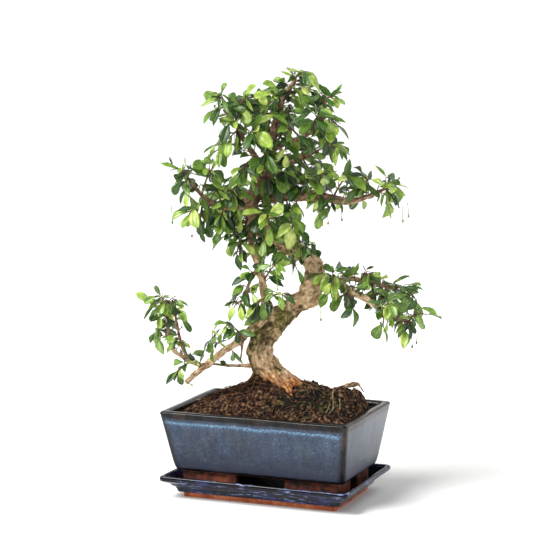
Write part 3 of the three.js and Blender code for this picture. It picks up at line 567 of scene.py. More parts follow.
def tube_template(sides, steps):
    """A closed tube of radius 1 along z, with a ring of points at each whole number."""
    bm = bmesh.new()
    bmesh.ops.create_cone(bm, cap_ends=True, segments=sides, radius1=1, radius2=1, depth=1)
    upright = [edge for edge in bm.edges if abs(edge.verts[0].co.z - edge.verts[1].co.z) > 0.5]
    bmesh.ops.subdivide_edges(bm, edges=upright, cuts=steps - 1)
    for vert in bm.verts:
        vert.co.z = round((vert.co.z + 0.5) * steps)
    for face in bm.faces:
        face.smooth = True
    mesh = bpy.data.meshes.new("tube_template")
    bm.to_mesh(mesh)
    bm.free()
    return mesh


def lay(bm, template):
    """Adds a copy of a template mesh, and gives its vertices and faces."""
    first_vert, first_face = len(bm.verts), len(bm.faces)
    bm.from_mesh(template)
    bm.verts.ensure_lookup_table()
    bm.faces.ensure_lookup_table()
    return bm.verts[first_vert:], bm.faces[first_face:]


def tube(bm, points, reach, sides, material=0):
    """A closed tube through points; reach gives its radius at a station and an angle."""
    last = len(points) - 1
    if (sides, last) not in tube_templates:
        tube_templates[sides, last] = tube_template(sides, last)
    verts, faces = lay(bm, tube_templates[sides, last])
    frames = []
    side = Vector((1, 0, 0))
    for i in range(last + 1):
        tangent = (points[min(i + 1, last)] - points[max(i - 1, 0)]).normalized()
        if not i and abs(tangent.x) > 0.9:
            side = Vector((0, 1, 0))
        side = (side - tangent * side.dot(tangent)).normalized()
        frames.append((side, tangent.cross(side), tangent))
    for vert in verts:
        i = round(vert.co.z)
        side, over, _ = frames[i]
        angle = math.atan2(vert.co.y, vert.co.x)
        vert.co = points[i] + (side * math.cos(angle) + over * math.sin(angle)) * reach(i, angle)
    for face in faces:
        face.material_index = material
    return frames


rng = random.Random(31)
bm = bmesh.new()
bmesh.ops.create_icosphere(bm, subdivisions=1, radius=1)
crumb_template = bpy.data.meshes.new("crumb_template")
bm.to_mesh(crumb_template)
bm.free()
bm = bmesh.new()
for _ in range(CRUMBS):
    x, y = rng.uniform(-86, 86), rng.uniform(-54, 54)
    made, made_faces = lay(bm, crumb_template)
    size = rng.uniform(0.7, 2.1) * (1.5 if rng.random() < 0.12 else 1)
    flat = rng.uniform(0.45, 0.9)
    spin = rng.uniform(0, math.pi)
    for vert in made:
        vert.co += noise.noise_vector(vert.co * 1.7 + Vector((x, y, 0))) * 0.45
        stretched = Vector((vert.co.x * 1.3, vert.co.y * 0.8, vert.co.z * flat)) * size
        turned = Vector((stretched.x * math.cos(spin) - stretched.y * math.sin(spin),
                         stretched.x * math.sin(spin) + stretched.y * math.cos(spin), stretched.z))
        vert.co = (turned + Vector((x, y, soil_surface(x, y) + 0.3))) * MM
    kind = 0 if rng.random() < 0.8 else 1
    for face in made_faces:
        face.material_index = kind
for _ in range(FIBRES):
    x, y = rng.triangular(-84, 84, -55), rng.uniform(-54, 54)
    heading, bend = rng.uniform(0, 2 * math.pi), rng.uniform(-0.5, 0.5)
    length = rng.uniform(4, 16)
    points = []
    for step in range(4):
        points.append(Vector((x, y, max(soil_surface(x, y), mound(x, y)) + 0.4 + rng.uniform(0, 0.7))) * MM)
        x += math.cos(heading) * length / 3
        y += math.sin(heading) * length / 3
        heading += bend
        x, y = max(min(x, 87), -87), max(min(y, 56), -56)
    tube(bm, points, lambda i, _: (0.27, 0.25, 0.2, 0.1)[i] * MM, sides=3, material=1)
for straw in [
    [(73, -34, 99), (72, -30, 104), (70, -26, 110), (69, -22, 116)],
    [(70, -38, 94), (72, -34, 97), (73, -30, 100)],
    [(66, -42, 90), (67, -40, 94), (69, -38, 98), (70, -35, 103)],
    [(78, -28, 96), (77, -24, 102), (75, -20, 106)],
    [(46, -50, 88), (51, -49, 90), (56, -49, 89)],
    [(-76, -30, 90), (-70, -34, 91), (-64, -36, 91)],
    [(-86, -8, 91), (-82, -14, 93), (-77, -16, 94)],
    [(-84, -4, 92), (-80, -12, 93.5), (-79, -18, 93)],
]:
    tube(bm, [Vector(point) * MM for point in straw], lambda *_: 0.24 * MM, sides=4, material=2)

# Composted bark: crumbs from nearly black to dull brown, quite matt.
crumb_bark, tree = new_material("composted_bark_crumbs")
coords = add(tree, "TexCoord").outputs["Object"]
patches = add(tree, "TexNoise", {"Vector": coords, "Scale": 180, "Detail": 4})
colour = add(tree, "ValToRGB", {"Fac": patches.outputs[0]},
             stops=[(0.36, "#100a07"), (0.5, "#33221a"), (0.66, "#6c4f3a")])
shader = add(tree, "BsdfPrincipled", {
    "Base Color": colour.outputs[0], "Roughness": 0.9, "Specular IOR Level": 0.2})
add(tree, "OutputMaterial", {"Surface": shader.outputs[0]})

# Fine dead roots and shreds of bark: red-brown, paler where they have dried.
root_fibre, tree = new_material("dry_root_fibre")
coords = add(tree, "TexCoord").outputs["Object"]
patches = add(tree, "TexNoise", {"Vector": coords, "Scale": 90, "Detail": 3})
colour = add(tree, "ValToRGB", {"Fac": patches.outputs[0]},
             stops=[(0.35, "#3b2013"), (0.52, "#6b4029"), (0.7, "#9a7450")])
shader = add(tree, "BsdfPrincipled", {"Base Color": colour.outputs[0], "Roughness": 0.8})
add(tree, "OutputMaterial", {"Surface": shader.outputs[0]})

# Straws of dead grass, bleached pale.
dry_straw, tree = new_material("dry_straw")
coords = add(tree, "TexCoord").outputs["Object"]
patches = add(tree, "TexNoise", {"Vector": coords, "Scale": 250, "Detail": 3})
colour = add(tree, "ValToRGB", {"Fac": patches.outputs[0]}, stops=[(0.4, "#8c7a50"), (0.65, "#c2b184")])
shader = add(tree, "BsdfPrincipled", {"Base Color": colour.outputs[0], "Roughness": 0.6})
add(tree, "OutputMaterial", {"Surface": shader.outputs[0]})

litter = new_piece("soil_litter", bm, [crumb_bark, root_fibre, dry_straw])
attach(litter, "root")
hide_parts("soil")


# Trunk, roots and branches. One grown body of tan bark: a fluted root flare, a crooked
# trunk, thick tapering limbs and thin brown twigs, knobbly where old shoots were cut.

# Skeletons run through points at u, v and z, each with the limb's radius there
TRUNK = [
    (19, -7, 97, 12), (13, -5, 106, 13), (5, -3, 115, 13.5), (-4, -2, 124, 13.5),
    (-13, -2, 134, 13.5), (-17, -4, 146, 12.8), (-15.5, -5, 157, 12.4), (-9.5, -5, 164, 11.6),
    (-3, -4, 170.5, 10.8), (7.5, -3, 182.5, 10.4), (18.5, -1, 193.5, 10.3), (29, 0, 199.5, 10.6),
    (35, 1, 209, 11), (38.5, 2, 221, 10.8), (37, 3, 233, 9.4), (28, 4, 243.5, 8.8),
    (11, 5, 253, 8.8), (-9, 6, 263, 8.8), (-21, 6, 277, 9), (-26, 5, 292, 8.2),
    (-20, 3, 310, 6.8), (-10, 1, 329, 5.6), (-4, 0, 349, 4.6), (-2, 1, 374, 3.6),
    (5, 2, 397, 2.8), (13, 2, 410, 2.3), (19, 2, 420, 1.8),
]
ROOTS = [
    [(8, -4, 117, 9.5), (19, -9, 112, 8), (28, -12, 106, 5)],
    [(-10, 0, 126, 9), (-21, 3, 117, 6.5), (-33, 7, 104, 4)],
    [(8, -6, 113, 9), (13, -15, 105, 6.5), (16, -22, 97, 4)],
    [(-2, 4, 122, 9), (6, 18, 112, 6.5), (13, 31, 101, 4)],
    [(8, 2, 117, 8), (24, 9, 110, 5.5), (38, 15, 101, 3.5)],
]
LIMBS = {
    "riser": [(-6, -12, 187, 5), (-10, -15, 200, 4.4), (-13, -17, 212, 4.2), (-15, -17, 224, 4),
        (-19, -15, 237, 3.6), (-24, -9, 250, 3.2), (-26, -2, 262, 2.8), (-25, 4, 274, 2.6)],
    "riser_twig": [(-18, -16, 234, 2.2), (-25, -20, 222, 2), (-30, -24, 211, 1.8), (-33, -28, 200, 1.6)],
    "low_left": [(3, -4, 190, 5.5), (-8.5, -12, 184, 5.4), (-19, -16, 177, 4.7), (-29, -18, 168, 4.3),
        (-37, -19, 160, 4), (-49, -20, 152, 3.6), (-62, -18, 142, 3.6), (-70, -17, 135, 3.6),
        (-80, -17, 127, 3.2), (-91, -18, 117, 2.6)],
    "low_left_rise": [(-70, -17, 135, 2.8), (-82, -12, 136, 2.5), (-93, -4, 140, 2.3), (-105, 4, 147, 2.1),
        (-110, 9, 159, 1.9), (-110, 12, 176, 1.7), (-111, 14, 190, 1.5)],
    "low_left_shoot": [(-90, -6, 139, 2), (-96, -13, 158, 1.8), (-99, -17, 173, 1.7), (-101, -19, 188, 1.5),
        (-104, -20, 202, 1.3)],
    "thin_twig": [(-20, 2, 131, 2.8), (-32, 12, 129, 2.2), (-48, 20, 128, 1.8), (-66, 27, 128, 1.5)],
    "dead_twig": [(-34, -19, 163, 1.6), (-34.5, -22, 152, 1.4), (-36, -24, 141, 1.1)],
    "right_low": [(36, 0, 217, 6), (48, -5, 219, 5.2), (58, -10, 217, 4.6), (72, -14, 210, 4.3),
        (86, -18, 204, 4), (106, -20, 191, 3), (122, -20, 183, 2.4), (135, -18, 177, 2)],
    "right_rise": [(58, -10, 217, 3.4), (71, -4, 221, 3.2), (84, 4, 218, 2.8), (98, 10, 214, 2.4),
        (111, 14, 210, 2.2), (125, 16, 205, 1.9), (136, 16, 200, 1.6)],
    "up_right": [(-15, 4, 299, 6.5), (8, 2, 304, 6.6), (23, -2, 304, 6.4), (39, -6, 304, 5.8),
        (56, -10, 301, 4.6), (71, -12, 299, 3.8), (85, -12, 302, 3), (101, -10, 308, 2.3),
        (113, -8, 314, 1.8)],
    "up_left": [(-24, 5, 289, 6), (-37, -2, 294, 5), (-52, -10, 293, 4), (-64, -14, 297, 3.2),
        (-74, -18, 306, 2.6), (-84, -20, 318, 2.2), (-94, -22, 331, 1.8)],
    "top_left": [(-10, 1, 329, 4), (-20, -8, 342, 3.4), (-31, -14, 358, 2.8), (-41, -18, 376, 2.3),
        (-52, -18, 391, 1.8)],
    "top_right": [(-4, 0, 349, 3.6), (8, -8, 356, 3), (23, -14, 362, 2.6), (37, -18, 370, 2.2),
        (47, -20, 384, 1.9), (48, -20, 400, 1.6)],
    "back_left": [(-25, 5, 292, 5), (-32, 22, 297, 4), (-41, 38, 298, 3), (-50, 50, 301, 2)],
    "back_right": [(-12, 2, 327, 4.4), (4, 18, 332, 3.6), (22, 34, 337, 2.8), (41, 44, 345, 1.9)],
    "back_top": [(-3, 0, 359, 3.2), (-9, 16, 372, 2.8), (-15, 28, 386, 2.2), (-21, 36, 397, 1.7)],
    "back_low": [(30, 4, 241, 5), (26, 20, 247, 3.8), (16, 36, 254, 2.8), (4, 48, 262, 1.9)],
}
# Old cuts and knots: place, and the radius of the scar
SCARS = [(-17, -4, 300, 6), (-24, 0, 268, 4), (24, -9, 193, 3)]
# Burls where limbs leave and the trunk bends, and one hollow: place, reach and rise
BURLS = [
    (38, -3, 197, 9, 4), (28, -2, 184, 8, -3), (31, -8, 204, 7, 1.6), (-17, -12, 172, 9, 2.2),
    (-25, -6, 148, 9, 1.4), (2, -10, 116, 8, 2), (36, -6, 231, 8, 1.5), (-26, -4, 262, 7, 1.5),
    (-10, -8, 132, 9, 1.6),
]
# Moss and painted shade on the shaded side of the lower trunk: place and reach
MOSS_AND_SHADE = [(-18, -12, 164, 21), (7, -9, 180, 20), (24, 0, 186, 13), (-24, -8, 128, 11), (0, 2, 160, 14),
        (-28, -5, 143, 11), (2, -14, 131, 7)]


def at(u, v, z):
    """A point given in the camera's axes: u to its right, v away from it, z up. Millimetres."""
    return np.array((u * math.cos(turn) - v * math.sin(turn),
                     u * math.sin(turn) + v * math.cos(turn), z))


def curve_point(skeleton, share):
    """The point and the radius at a share of the way along a smooth curve through a skeleton."""
    points = [at(*p[:3]) for p in skeleton]
    points = [2 * points[0] - points[1], *points, 2 * points[-1] - points[-2]]
    place = share * (len(skeleton) - 1)
    span = min(int(place), len(skeleton) - 2)
    t = place - span
    before, start, end, after = points[span:span + 4]
    leave, arrive = 0.5 * (end - before), 0.5 * (after - start)
    point = (start + leave * t + (-3 * start + 3 * end - 2 * leave - arrive) * t * t
             + (2 * start - 2 * end + leave + arrive) * t ** 3)
    return point, skeleton[span][3] * (1 - t) + skeleton[span + 1][3] * t


def bark_shape(angle, along, depth):
    """Ridges and hollows round a limb, as a share of its radius."""
    flutes = 0.5 * math.sin(3 * angle + 0.11 * along) + 0.3 * math.sin(5 * angle - 0.17 * along + 1)
    return 1 + depth * (flutes + 0.35 * math.sin(2 * angle + 0.31 * along))


LIMB_STATIONS = 6  # rings between two points of a skeleton
spine = []


def limb(bm, skeleton, sides, depth):
    """A fluted limb along a skeleton. Its centre line is added to the spine for the bark."""
    steps = (len(skeleton) - 1) * LIMB_STATIONS
    stations = [curve_point(skeleton, i / steps) for i in range(steps + 1)]
    centres = [Vector(point) for point, _ in stations]
    along = [0]
    for before, centre in zip(centres, centres[1:]):
        along.append(along[-1] + (centre - before).length)
    frames = tube(bm, centres,
                  lambda i, angle: stations[i][1] * bark_shape(angle, along[i], depth), sides)
    for centre, (side, _, tangent), (_, radius), length in zip(centres, frames, stations, along):
        spine.append((centre, tangent, side, radius, length))


bm = bmesh.new()
limb(bm, TRUNK, sides=28, depth=0.13)
for skeleton in ROOTS:
    limb(bm, skeleton, sides=18, depth=0.12)
for skeleton in LIMBS.values():
    limb(bm, skeleton, sides=12, depth=0.1)
for vert in bm.verts:
    vert.co *= MM

# The limbs are joined into one skin, then smoothed, before the bark's relief is laid on
VOXEL = 0.95
rough_wood = new_piece("rough_wood", bm, [])
remesh = rough_wood.modifiers.new("remesh", "REMESH")
remesh.mode = "VOXEL"
remesh.voxel_size = VOXEL * MM
evaluated = rough_wood.evaluated_get(bpy.context.evaluated_depsgraph_get())
bm = bmesh.new()
bm.from_mesh(evaluated.to_mesh())
bpy.data.objects.remove(rough_wood)
for _ in range(2):
    bmesh.ops.smooth_vert(bm, verts=bm.verts[:], factor=0.5,
                          use_axis_x=True, use_axis_y=True, use_axis_z=True)

# Corky relief: knobs, strands and cracks that follow the grain, burls and scars, and the marks
# for moss, which also carries painted shade, and for the low places, where shade is painted
tree_of_spine = kdtree.KDTree(len(spine))
for i, (centre, *_) in enumerate(spine):
    tree_of_spine.insert(centre, i)
tree_of_spine.balance()
scar_spots = [(Vector(at(u, v, z)), radius) for u, v, z, radius in SCARS]
burl_spots = [(Vector(at(u, v, z)), reach, height) for u, v, z, reach, height in BURLS]
moss_and_shade_spots = [(Vector(at(u, v, z)), reach) for u, v, z, reach in MOSS_AND_SHADE]
grain = bm.verts.layers.float_vector.new("grain")
girth = bm.verts.layers.float.new("girth")
scar = bm.verts.layers.float.new("scar")
low = bm.verts.layers.float.new("hollow")
moss = bm.verts.layers.float.new("moss")
bm.normal_update()
for vert in bm.verts:
    spot = vert.co / MM
    _, index, _ = tree_of_spine.find(spot)
    centre, tangent, side, radius, along = spine[index]
    away = spot - centre
    along += away.dot(tangent)
    over = tangent.cross(side)
    angle = math.atan2(away.dot(over), away.dot(side))
    wrap = Vector((math.cos(angle) * radius, math.sin(angle) * radius, along * 0.42))
    knobs = noise.fractal(spot / 8.5, 0.9, 2.0, 2)
    plates = noise.voronoi(wrap / 3.4 + noise.noise_vector(spot / 5) * 0.35)[0]
    cracks = plates[1] - plates[0]
    fine = abs(noise.noise(wrap / 1.5))
    strands = noise.noise(Vector((wrap.x / 2.6, wrap.y / 2.6, along / 8)))
    chips = noise.fractal(spot / 2.4, 0.8, 2.0, 2)
    size = min(radius / 11, 1)
    lift = 1.1 * knobs + strands + 0.55 * chips
    lift = lift - 0.6 * max(0.24 - cracks, 0) / 0.24 - 0.4 * max(0.14 - fine, 0) / 0.14
    lift *= 0.3 + 0.7 * size
    lift += sum(height * max(1 - ((spot - place).length / reach) ** 2, 0) ** 2
                for place, reach, height in burl_spots)
    near = min((spot - place).length / reach for place, reach in scar_spots)
    scarred = max(1 - max(near - 0.45, 0) / 0.75, 0) if near < 1.2 else 0
    if 0.8 < near < 1.25:
        lift += 0.9 * math.sin((near - 0.8) / 0.45 * math.pi)
    if near < 0.8:
        lift -= 1.2 * (0.8 - near)
    vert.co += vert.normal * lift * MM
    vert[grain] = (wrap.x, wrap.y, along * 0.28)
    # Moss mark, which also paints shade on the shaded side of the lower trunk
    green = max(1 - (spot - place).length / reach for place, reach in moss_and_shade_spots)
    vert[moss] = min(max(1.9 * green + 0.9 * noise.noise(spot / 4), 0), 1) if green > 0 else 0
    vert[girth] = radius / 20
    vert[scar] = scarred
    # Low places of the relief, marked for painted shade in the bark's colour
    vert[low] = min(max(0.45 - lift * 0.55, 0), 1)
for face in bm.faces:
    face.smooth = True

# Living bark of a small evergreen tree: pale tan and corky on the trunk, in strands that run
# with the grain, browner on thin limbs, orange where roots are worn, dark olive under moss,
# which also paints shade on the lower trunk, and painted shade in the low places of the relief.
bark, tree = new_material("tan_corky_bark")
coords = add(tree, "TexCoord").outputs["Object"]
height = add(tree, "SeparateXYZ", {"Vector": coords}).outputs["Z"]
strand = add(tree, "Attribute", attribute_name="grain").outputs["Vector"]
thick = add(tree, "Attribute", attribute_name="girth").outputs["Fac"]
scarred = add(tree, "Attribute", attribute_name="scar").outputs["Fac"]
hollow = add(tree, "Attribute", attribute_name="hollow").outputs["Fac"]
flakes = add(tree, "TexNoise", {"Vector": coords, "Scale": 170, "Detail": 5, "Roughness": 0.7}).outputs[0]
patches = add(tree, "TexNoise", {"Vector": coords, "Scale": 55, "Detail": 3, "Roughness": 0.6}).outputs[0]
fibres = add(tree, "TexNoise", {"Vector": strand, "Scale": 0.5, "Detail": 5, "Roughness": 0.65}).outputs[0]
woven = add(tree, "Mix", {0: 0.5, 2: flakes, 3: fibres}, data_type="FLOAT").outputs[0]
tan = add(tree, "ValToRGB", {"Fac": woven},
          stops=[(0.37, "#694c33"), (0.45, "#ac8a63"), (0.53, "#d4b68d"), (0.62, "#f4e4c8")]).outputs[0]
brown = add(tree, "ValToRGB", {"Fac": flakes},
            stops=[(0.33, "#2c1c14"), (0.47, "#583c2f"), (0.57, "#86644e"), (0.68, "#b59476")]).outputs[0]
thin = add(tree, "MapRange", {"Value": thick, "From Min": 0.16, "From Max": 0.07}).outputs[0]
in_crown = add(tree, "MapRange", {
    "Value": height, "From Min": 272 * MM, "From Max": 305 * MM, "To Max": 0.8}).outputs[0]
browner = add(tree, "Math", {0: thin, 1: in_crown}, operation="MAXIMUM").outputs[0]
limbs = add(tree, "Mix", {0: browner, 6: tan, 7: brown}, data_type="RGBA").outputs[2]
orange = add(tree, "ValToRGB", {"Fac": fibres},
             stops=[(0.36, "#4c2613"), (0.45, "#9c5828"), (0.54, "#cd8649"), (0.66, "#eac593")]).outputs[0]
near_soil = add(tree, "MapRange", {"Value": height, "From Min": 134 * MM, "From Max": 116 * MM}).outputs[0]
worn_spots = add(tree, "MapRange", {"Value": patches, "From Min": 0.36, "From Max": 0.5}).outputs[0]
stout = add(tree, "MapRange", {"Value": thick, "From Min": 0.15, "From Max": 0.22}).outputs[0]
worn_low = add(tree, "Math", {0: near_soil, 1: worn_spots}, operation="MULTIPLY").outputs[0]
worn = add(tree, "Math", {0: worn_low, 1: stout}, operation="MULTIPLY").outputs[0]
flared = add(tree, "Mix", {0: worn, 6: limbs, 7: orange}, data_type="RGBA").outputs[2]
olive = add(tree, "ValToRGB", {"Fac": flakes},
            stops=[(0.38, "#1f1c0b"), (0.48, "#48431c"), (0.56, "#706a30"), (0.66, "#a79a5e")]).outputs[0]
# Moss, dark olive, which also paints shade on the lower trunk
moss_and_shade_cover = add(tree, "Attribute", attribute_name="moss").outputs["Fac"]
mossy = add(tree, "Math", {0: moss_and_shade_cover, 1: 0.92}, operation="MULTIPLY").outputs[0]
green = add(tree, "Mix", {0: mossy, 6: flared, 7: olive}, data_type="RGBA").outputs[2]
# Painted shade: the low places of the relief are darkened toward dark brown
crease_shade = add(tree, "MapRange", {"Value": hollow, "From Min": 0.72, "From Max": 1.0, "To Max": 0.7}).outputs[0]
crease_shaded = add(tree, "Mix", {0: crease_shade, 6: green, 7: linear("#3d2a1c")}, data_type="RGBA").outputs[2]
colour = add(tree, "Mix", {0: scarred, 6: crease_shaded, 7: linear("#4a3324")}, data_type="RGBA").outputs[2]
relief = add(tree, "Math", {0: fibres, 1: flakes}, operation="ADD").outputs[0]
bumps = add(tree, "Bump", {"Height": relief, "Strength": 0.7, "Distance": 0.7 * MM})
shader = add(tree, "BsdfPrincipled", {
    "Base Color": colour, "Roughness": 0.82, "Specular IOR Level": 0.3, "Normal": bumps.outputs[0]})
add(tree, "OutputMaterial", {"Surface": shader.outputs[0]})
wood = new_piece("barked_trunk_and_branches", bm, [bark])
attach(wood, "root")
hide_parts("trunk_and_branches")


# Bark piece. A curled slab of loose bark that lies on the soil at the right of the trunk. It
# is thin and turned down at its outer end.

BARK_PIECE = [
    (57, -4, 107.5, 1.6), (64, -4, 109, 2.6), (72, -3, 111, 3.2), (79, -2, 112.5, 3.3), (82, -1, 112.5, 2),
    (84.5, -0.5, 110, 0.9), (88.5, 0, 104, 0.5),
]
SLAB_STEPS = 24
THIN_FROM = 84  # to the right of this the slab is thin, and its relief is a quarter as deep
stations = [curve_point(BARK_PIECE, i / SLAB_STEPS) for i in range(SLAB_STEPS + 1)]
bm = bmesh.new()


def slab_reach(i, angle):
    """The slab's section: flatter than round, with five slight ridges that wander along it."""
    return stations[i][1] * (1 + 0.45 * math.cos(2 * angle) + 0.12 * math.sin(5 * angle + 0.4 * i))


tube(bm, [Vector(point) for point, _ in stations], slab_reach, sides=16)
bmesh.ops.recalc_face_normals(bm, faces=bm.faces[:])
bmesh.ops.subdivide_edges(bm, edges=bm.edges[:], cuts=1, use_grid_fill=True)
bm.normal_update()
for vert in bm.verts:
    ridge = noise.noise(Vector((vert.co.x * 0.08, vert.co.y * 0.5, vert.co.z * 0.6)))
    chips = noise.fractal(vert.co / 3.2, 0.8, 2.0, 3)
    stout = 0.25 + 0.75 * min(max((THIN_FROM - vert.co.dot(at(1, 0, 0))) / 5, 0), 1)
    vert.co = (vert.co + vert.normal * stout * (1.1 * ridge + 0.6 * chips)) * MM
for face in bm.faces:
    face.smooth = True

# Dead outer bark, dry and flaking: red-brown in its cracks, worn pale on its ridges.
old_bark, tree = new_material("loose_red_brown_bark")
coords = add(tree, "TexCoord").outputs["Object"]
flakes = add(tree, "TexNoise", {"Vector": coords, "Scale": 210, "Detail": 5, "Roughness": 0.7}).outputs[0]
colour = add(tree, "ValToRGB", {"Fac": flakes},
             stops=[(0.36, "#1f140d"), (0.46, "#533a28"), (0.54, "#8d6f50"), (0.65, "#c6ad86")]).outputs[0]
bumps = add(tree, "Bump", {"Height": flakes, "Strength": 0.8, "Distance": 0.8 * MM})
shader = add(tree, "BsdfPrincipled", {"Base Color": colour, "Roughness": 0.9, "Normal": bumps.outputs[0]})
add(tree, "OutputMaterial", {"Surface": shader.outputs[0]})

slab = new_piece("loose_bark_slab", bm, [old_bark])
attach(slab, "root")
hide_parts("bark_piece")


# Leafy shoots. Thin twigs with small glossy spoon-shaped leaves that hang from them, and here
# and there a bud on a hair-thin stalk, all grown from the limbs.

# Where a shoot leaves its branch, the tips of its twigs, the leaves on a twig and their length
SHOOTS = [
    [(16, 2, 414), [(24, 0, 425)], 3, 21],
    [(6, 2, 399), [(40, -6, 408), (-8, -10, 395), (-5, 16, 393)], 4, 19],
    [(-50, -18, 388), [(-54, -30, 404), (-58, -20, 391)], 4, 20],
    [(-41, -18, 376), [(-30, -20, 404)], 5, 19],
    [(-21, 36, 396), [(-18, 44, 402), (-38, 50, 394)], 3, 19],
    [(-38, -17, 370), [(-46, -28, 362)], 4, 17],
    [(-31, -14, 360), [(-22, -32, 370)], 6, 23],
    [(-28, -12, 354), [(-62, -22, 348)], 5, 20],
    [(-20, -8, 342), [(-36, -28, 328)], 5, 20],
    [(-90, -21, 326), [(-97, -24, 332), (-86, -30, 305)], 4, 18],
    [(-74, -18, 306), [(-62, -30, 334)], 5, 20],
    [(-66, -15, 299), [(-86, -26, 288), (-76, -24, 272)], 4, 19],
    [(-52, -10, 293), [(-56, -24, 270)], 5, 18],
    [(-37, -2, 294), [(-46, -22, 312)], 5, 18],
    [(-27, 4, 286), [(-40, -14, 246), (-52, 10, 262)], 4, 18],
    [(-50, 50, 301), [(-66, 58, 304), (-38, 62, 304)], 3, 20],
    [(-41, 38, 298), [(-56, 42, 286)], 5, 19],
    [(-12, 1, 325), [(-12, -28, 345)], 6, 22],
    [(-18, 3, 313), [(6, -28, 324)], 5, 21],
    [(-26, 5, 290), [(-6, -26, 276)], 5, 20],
    [(8, 2, 304), [(16, -18, 272)], 5, 19],
    [(23, -2, 304), [(32, -20, 322)], 5, 20],
    [(42, -7, 304), [(46, -26, 328), (44, 14, 322), (46, -20, 294)], 3, 19],
    [(56, -10, 301), [(70, -22, 324)], 5, 18],
    [(70, -12, 299), [(94, -18, 322)], 5, 18],
    [(108, -9, 311), [(116, -10, 316), (108, -20, 297)], 4, 19],
    [(48, -20, 400), [(56, -22, 403)], 5, 15],
    [(46, -20, 383), [(61, -24, 373)], 5, 18],
    [(35, -17, 369), [(40, -34, 384)], 4, 22],
    [(40, -18, 374), [(57, -30, 350)], 5, 19],
    [(23, -14, 362), [(10, -26, 372)], 4, 17],
    [(41, 44, 345), [(60, 52, 350), (34, 62, 356)], 5, 19],
    [(24, 35, 338), [(36, 50, 318)], 5, 19],
    [(-3, 0, 370), [(14, -16, 390), (18, 12, 386)], 4, 19],
    [(-14, 27, 384), [(8, 36, 378)], 4, 18],
    [(34, 4, 238), [(26, -14, 261)], 5, 18],
    [(12, 5, 253), [(20, -18, 232)], 4, 18],
    [(-12, -17, 217), [(0, -32, 238)], 5, 18],
    [(-32, -27, 203), [(-42, -32, 196)], 4, 15],
    [(-6, -14, 202), [(6, -34, 208), (-20, -34, 198)], 4, 17],
    [(-36, -20, 165), [(-46, -28, 176)], 4, 15],
    [(-102, -19, 194), [(-113, -22, 200), (-94, -26, 183)], 4, 16],
    [(-110, 12, 176), [(-127, 12, 193), (-116, 24, 197), (-122, 16, 157)], 4, 18],
    [(-84, -11, 136), [(-100, -16, 128)], 4, 16],
    [(-66, -18, 139), [(-64, -26, 160)], 4, 16],
    [(4, 48, 262), [(-10, 58, 272), (16, 58, 254)], 4, 19],
    [(54, -8, 218), [(58, -26, 227), (45, -24, 228), (50, -22, 207)], 3, 18],
    [(72, -14, 210), [(75, -24, 193), (62, -28, 204)], 4, 19],
    [(106, -20, 191), [(106, -30, 175), (110, -32, 200)], 4, 17],
    [(126, -19, 181), [(150, -16, 186), (128, -26, 171)], 4, 18],
    [(84, 4, 218), [(94, -4, 225), (90, 20, 222)], 4, 16],
    [(98, 10, 214), [(100, -4, 196)], 4, 19],
    [(122, 15, 206), [(120, 18, 213), (114, 32, 204), (142, 16, 196)], 3, 17],
]
LEAF_WIDTH = 0.25  # half width of a leaf as a share of its length
LEAF_CURL = 0.18  # how far a leaf's tip bends back, as a share of its length
CELL = 6  # of the grid that finds what lies near a point
TRIES = 8  # at a place for each leaf
SMALL_TRIES = 5  # and for each leaf of a spur or twiglet

state = 20417


def draw(low_end, high_end):
    """The next draw of a seeded generator, between two values."""
    global state
    state = (state * 1664525 + 1013904223) & 0xFFFFFFFF
    return low_end + (high_end - low_end) * state / 2 ** 32


def unit(vector):
    """The vector with length 1."""
    length = math.sqrt(float(vector @ vector))
    return vector / length if length else vector


# Points along the wood, so that leaves keep clear of it
SAMPLES = 5  # between two points of a skeleton
inside = []
for skeleton in [TRUNK, *LIMBS.values()]:
    steps = (len(skeleton) - 1) * SAMPLES
    for i in range(steps + 1):
        inside.append(curve_point(skeleton, i / steps))
wood_points = np.array([point for point, _ in inside])
wood_radii = np.array([radius for _, radius in inside])
UP = np.array((0.0, 0.0, 1.0))


def twig_point(twig, t):
    """A twig runs from its root to its tip in a low arch."""
    root, tip = twig
    return root + (tip - root) * t + UP * (0.12 * np.linalg.norm(root - tip) * 4 * t * (1 - t))


def leaf_pose(twig, index, count, size):
    """How a leaf lies: its base, the way it points, the way its face looks, and its length."""
    t = min(0.2 + 0.8 * (index + draw(0.3, 1)) / count, 0.97)
    base = twig_point(twig, t)
    along = unit(twig_point(twig, t + 0.03) - twig_point(twig, t - 0.03))
    helper = np.array((1.0, 0.0, 0.0)) if abs(along[2]) > 0.9 else UP
    side = unit(np.cross(helper, along))
    over = np.cross(along, side)
    angle = index * 2.4 + draw(-0.6, 0.6)
    out = side * math.cos(angle) + over * math.sin(angle)
    ahead = 1.4 if index == count - 1 else draw(0.2, 0.8)
    way = out * 0.7 + along * ahead - UP * draw(0.15, 1.1)
    way = unit(way)
    facing = 1 if float(base @ at(0, 1, 0)) > 14 else -1
    opened = at(0, facing, 0) * draw(0.1, 0.9)
    outward = unit(np.array((base[0], base[1], 0.0))) * 0.4
    face = opened + outward + out * 0.3 + UP * draw(0.2, 0.7)
    face = unit(face - way * float(face @ way))
    return base, way, face, size * draw(0.85, 1.25)


def leaf_point(pose, s, across):
    """A point of a leaf: how far along it, and how far across as a share of its half width."""
    base, way, face, length = pose
    return (base + way * (length * s) + np.cross(face, way) * (LEAF_WIDTH * length * across)
            - face * (LEAF_CURL * length * s * s))


filled = {}


def cell_of(point):
    """The cell of the grid that a point lies in."""
    return tuple(int(math.floor(c / CELL)) for c in point)


def fill(point, shoot):
    """Notes a point as taken by a shoot."""
    filled.setdefault(cell_of(point), []).append((point, shoot))


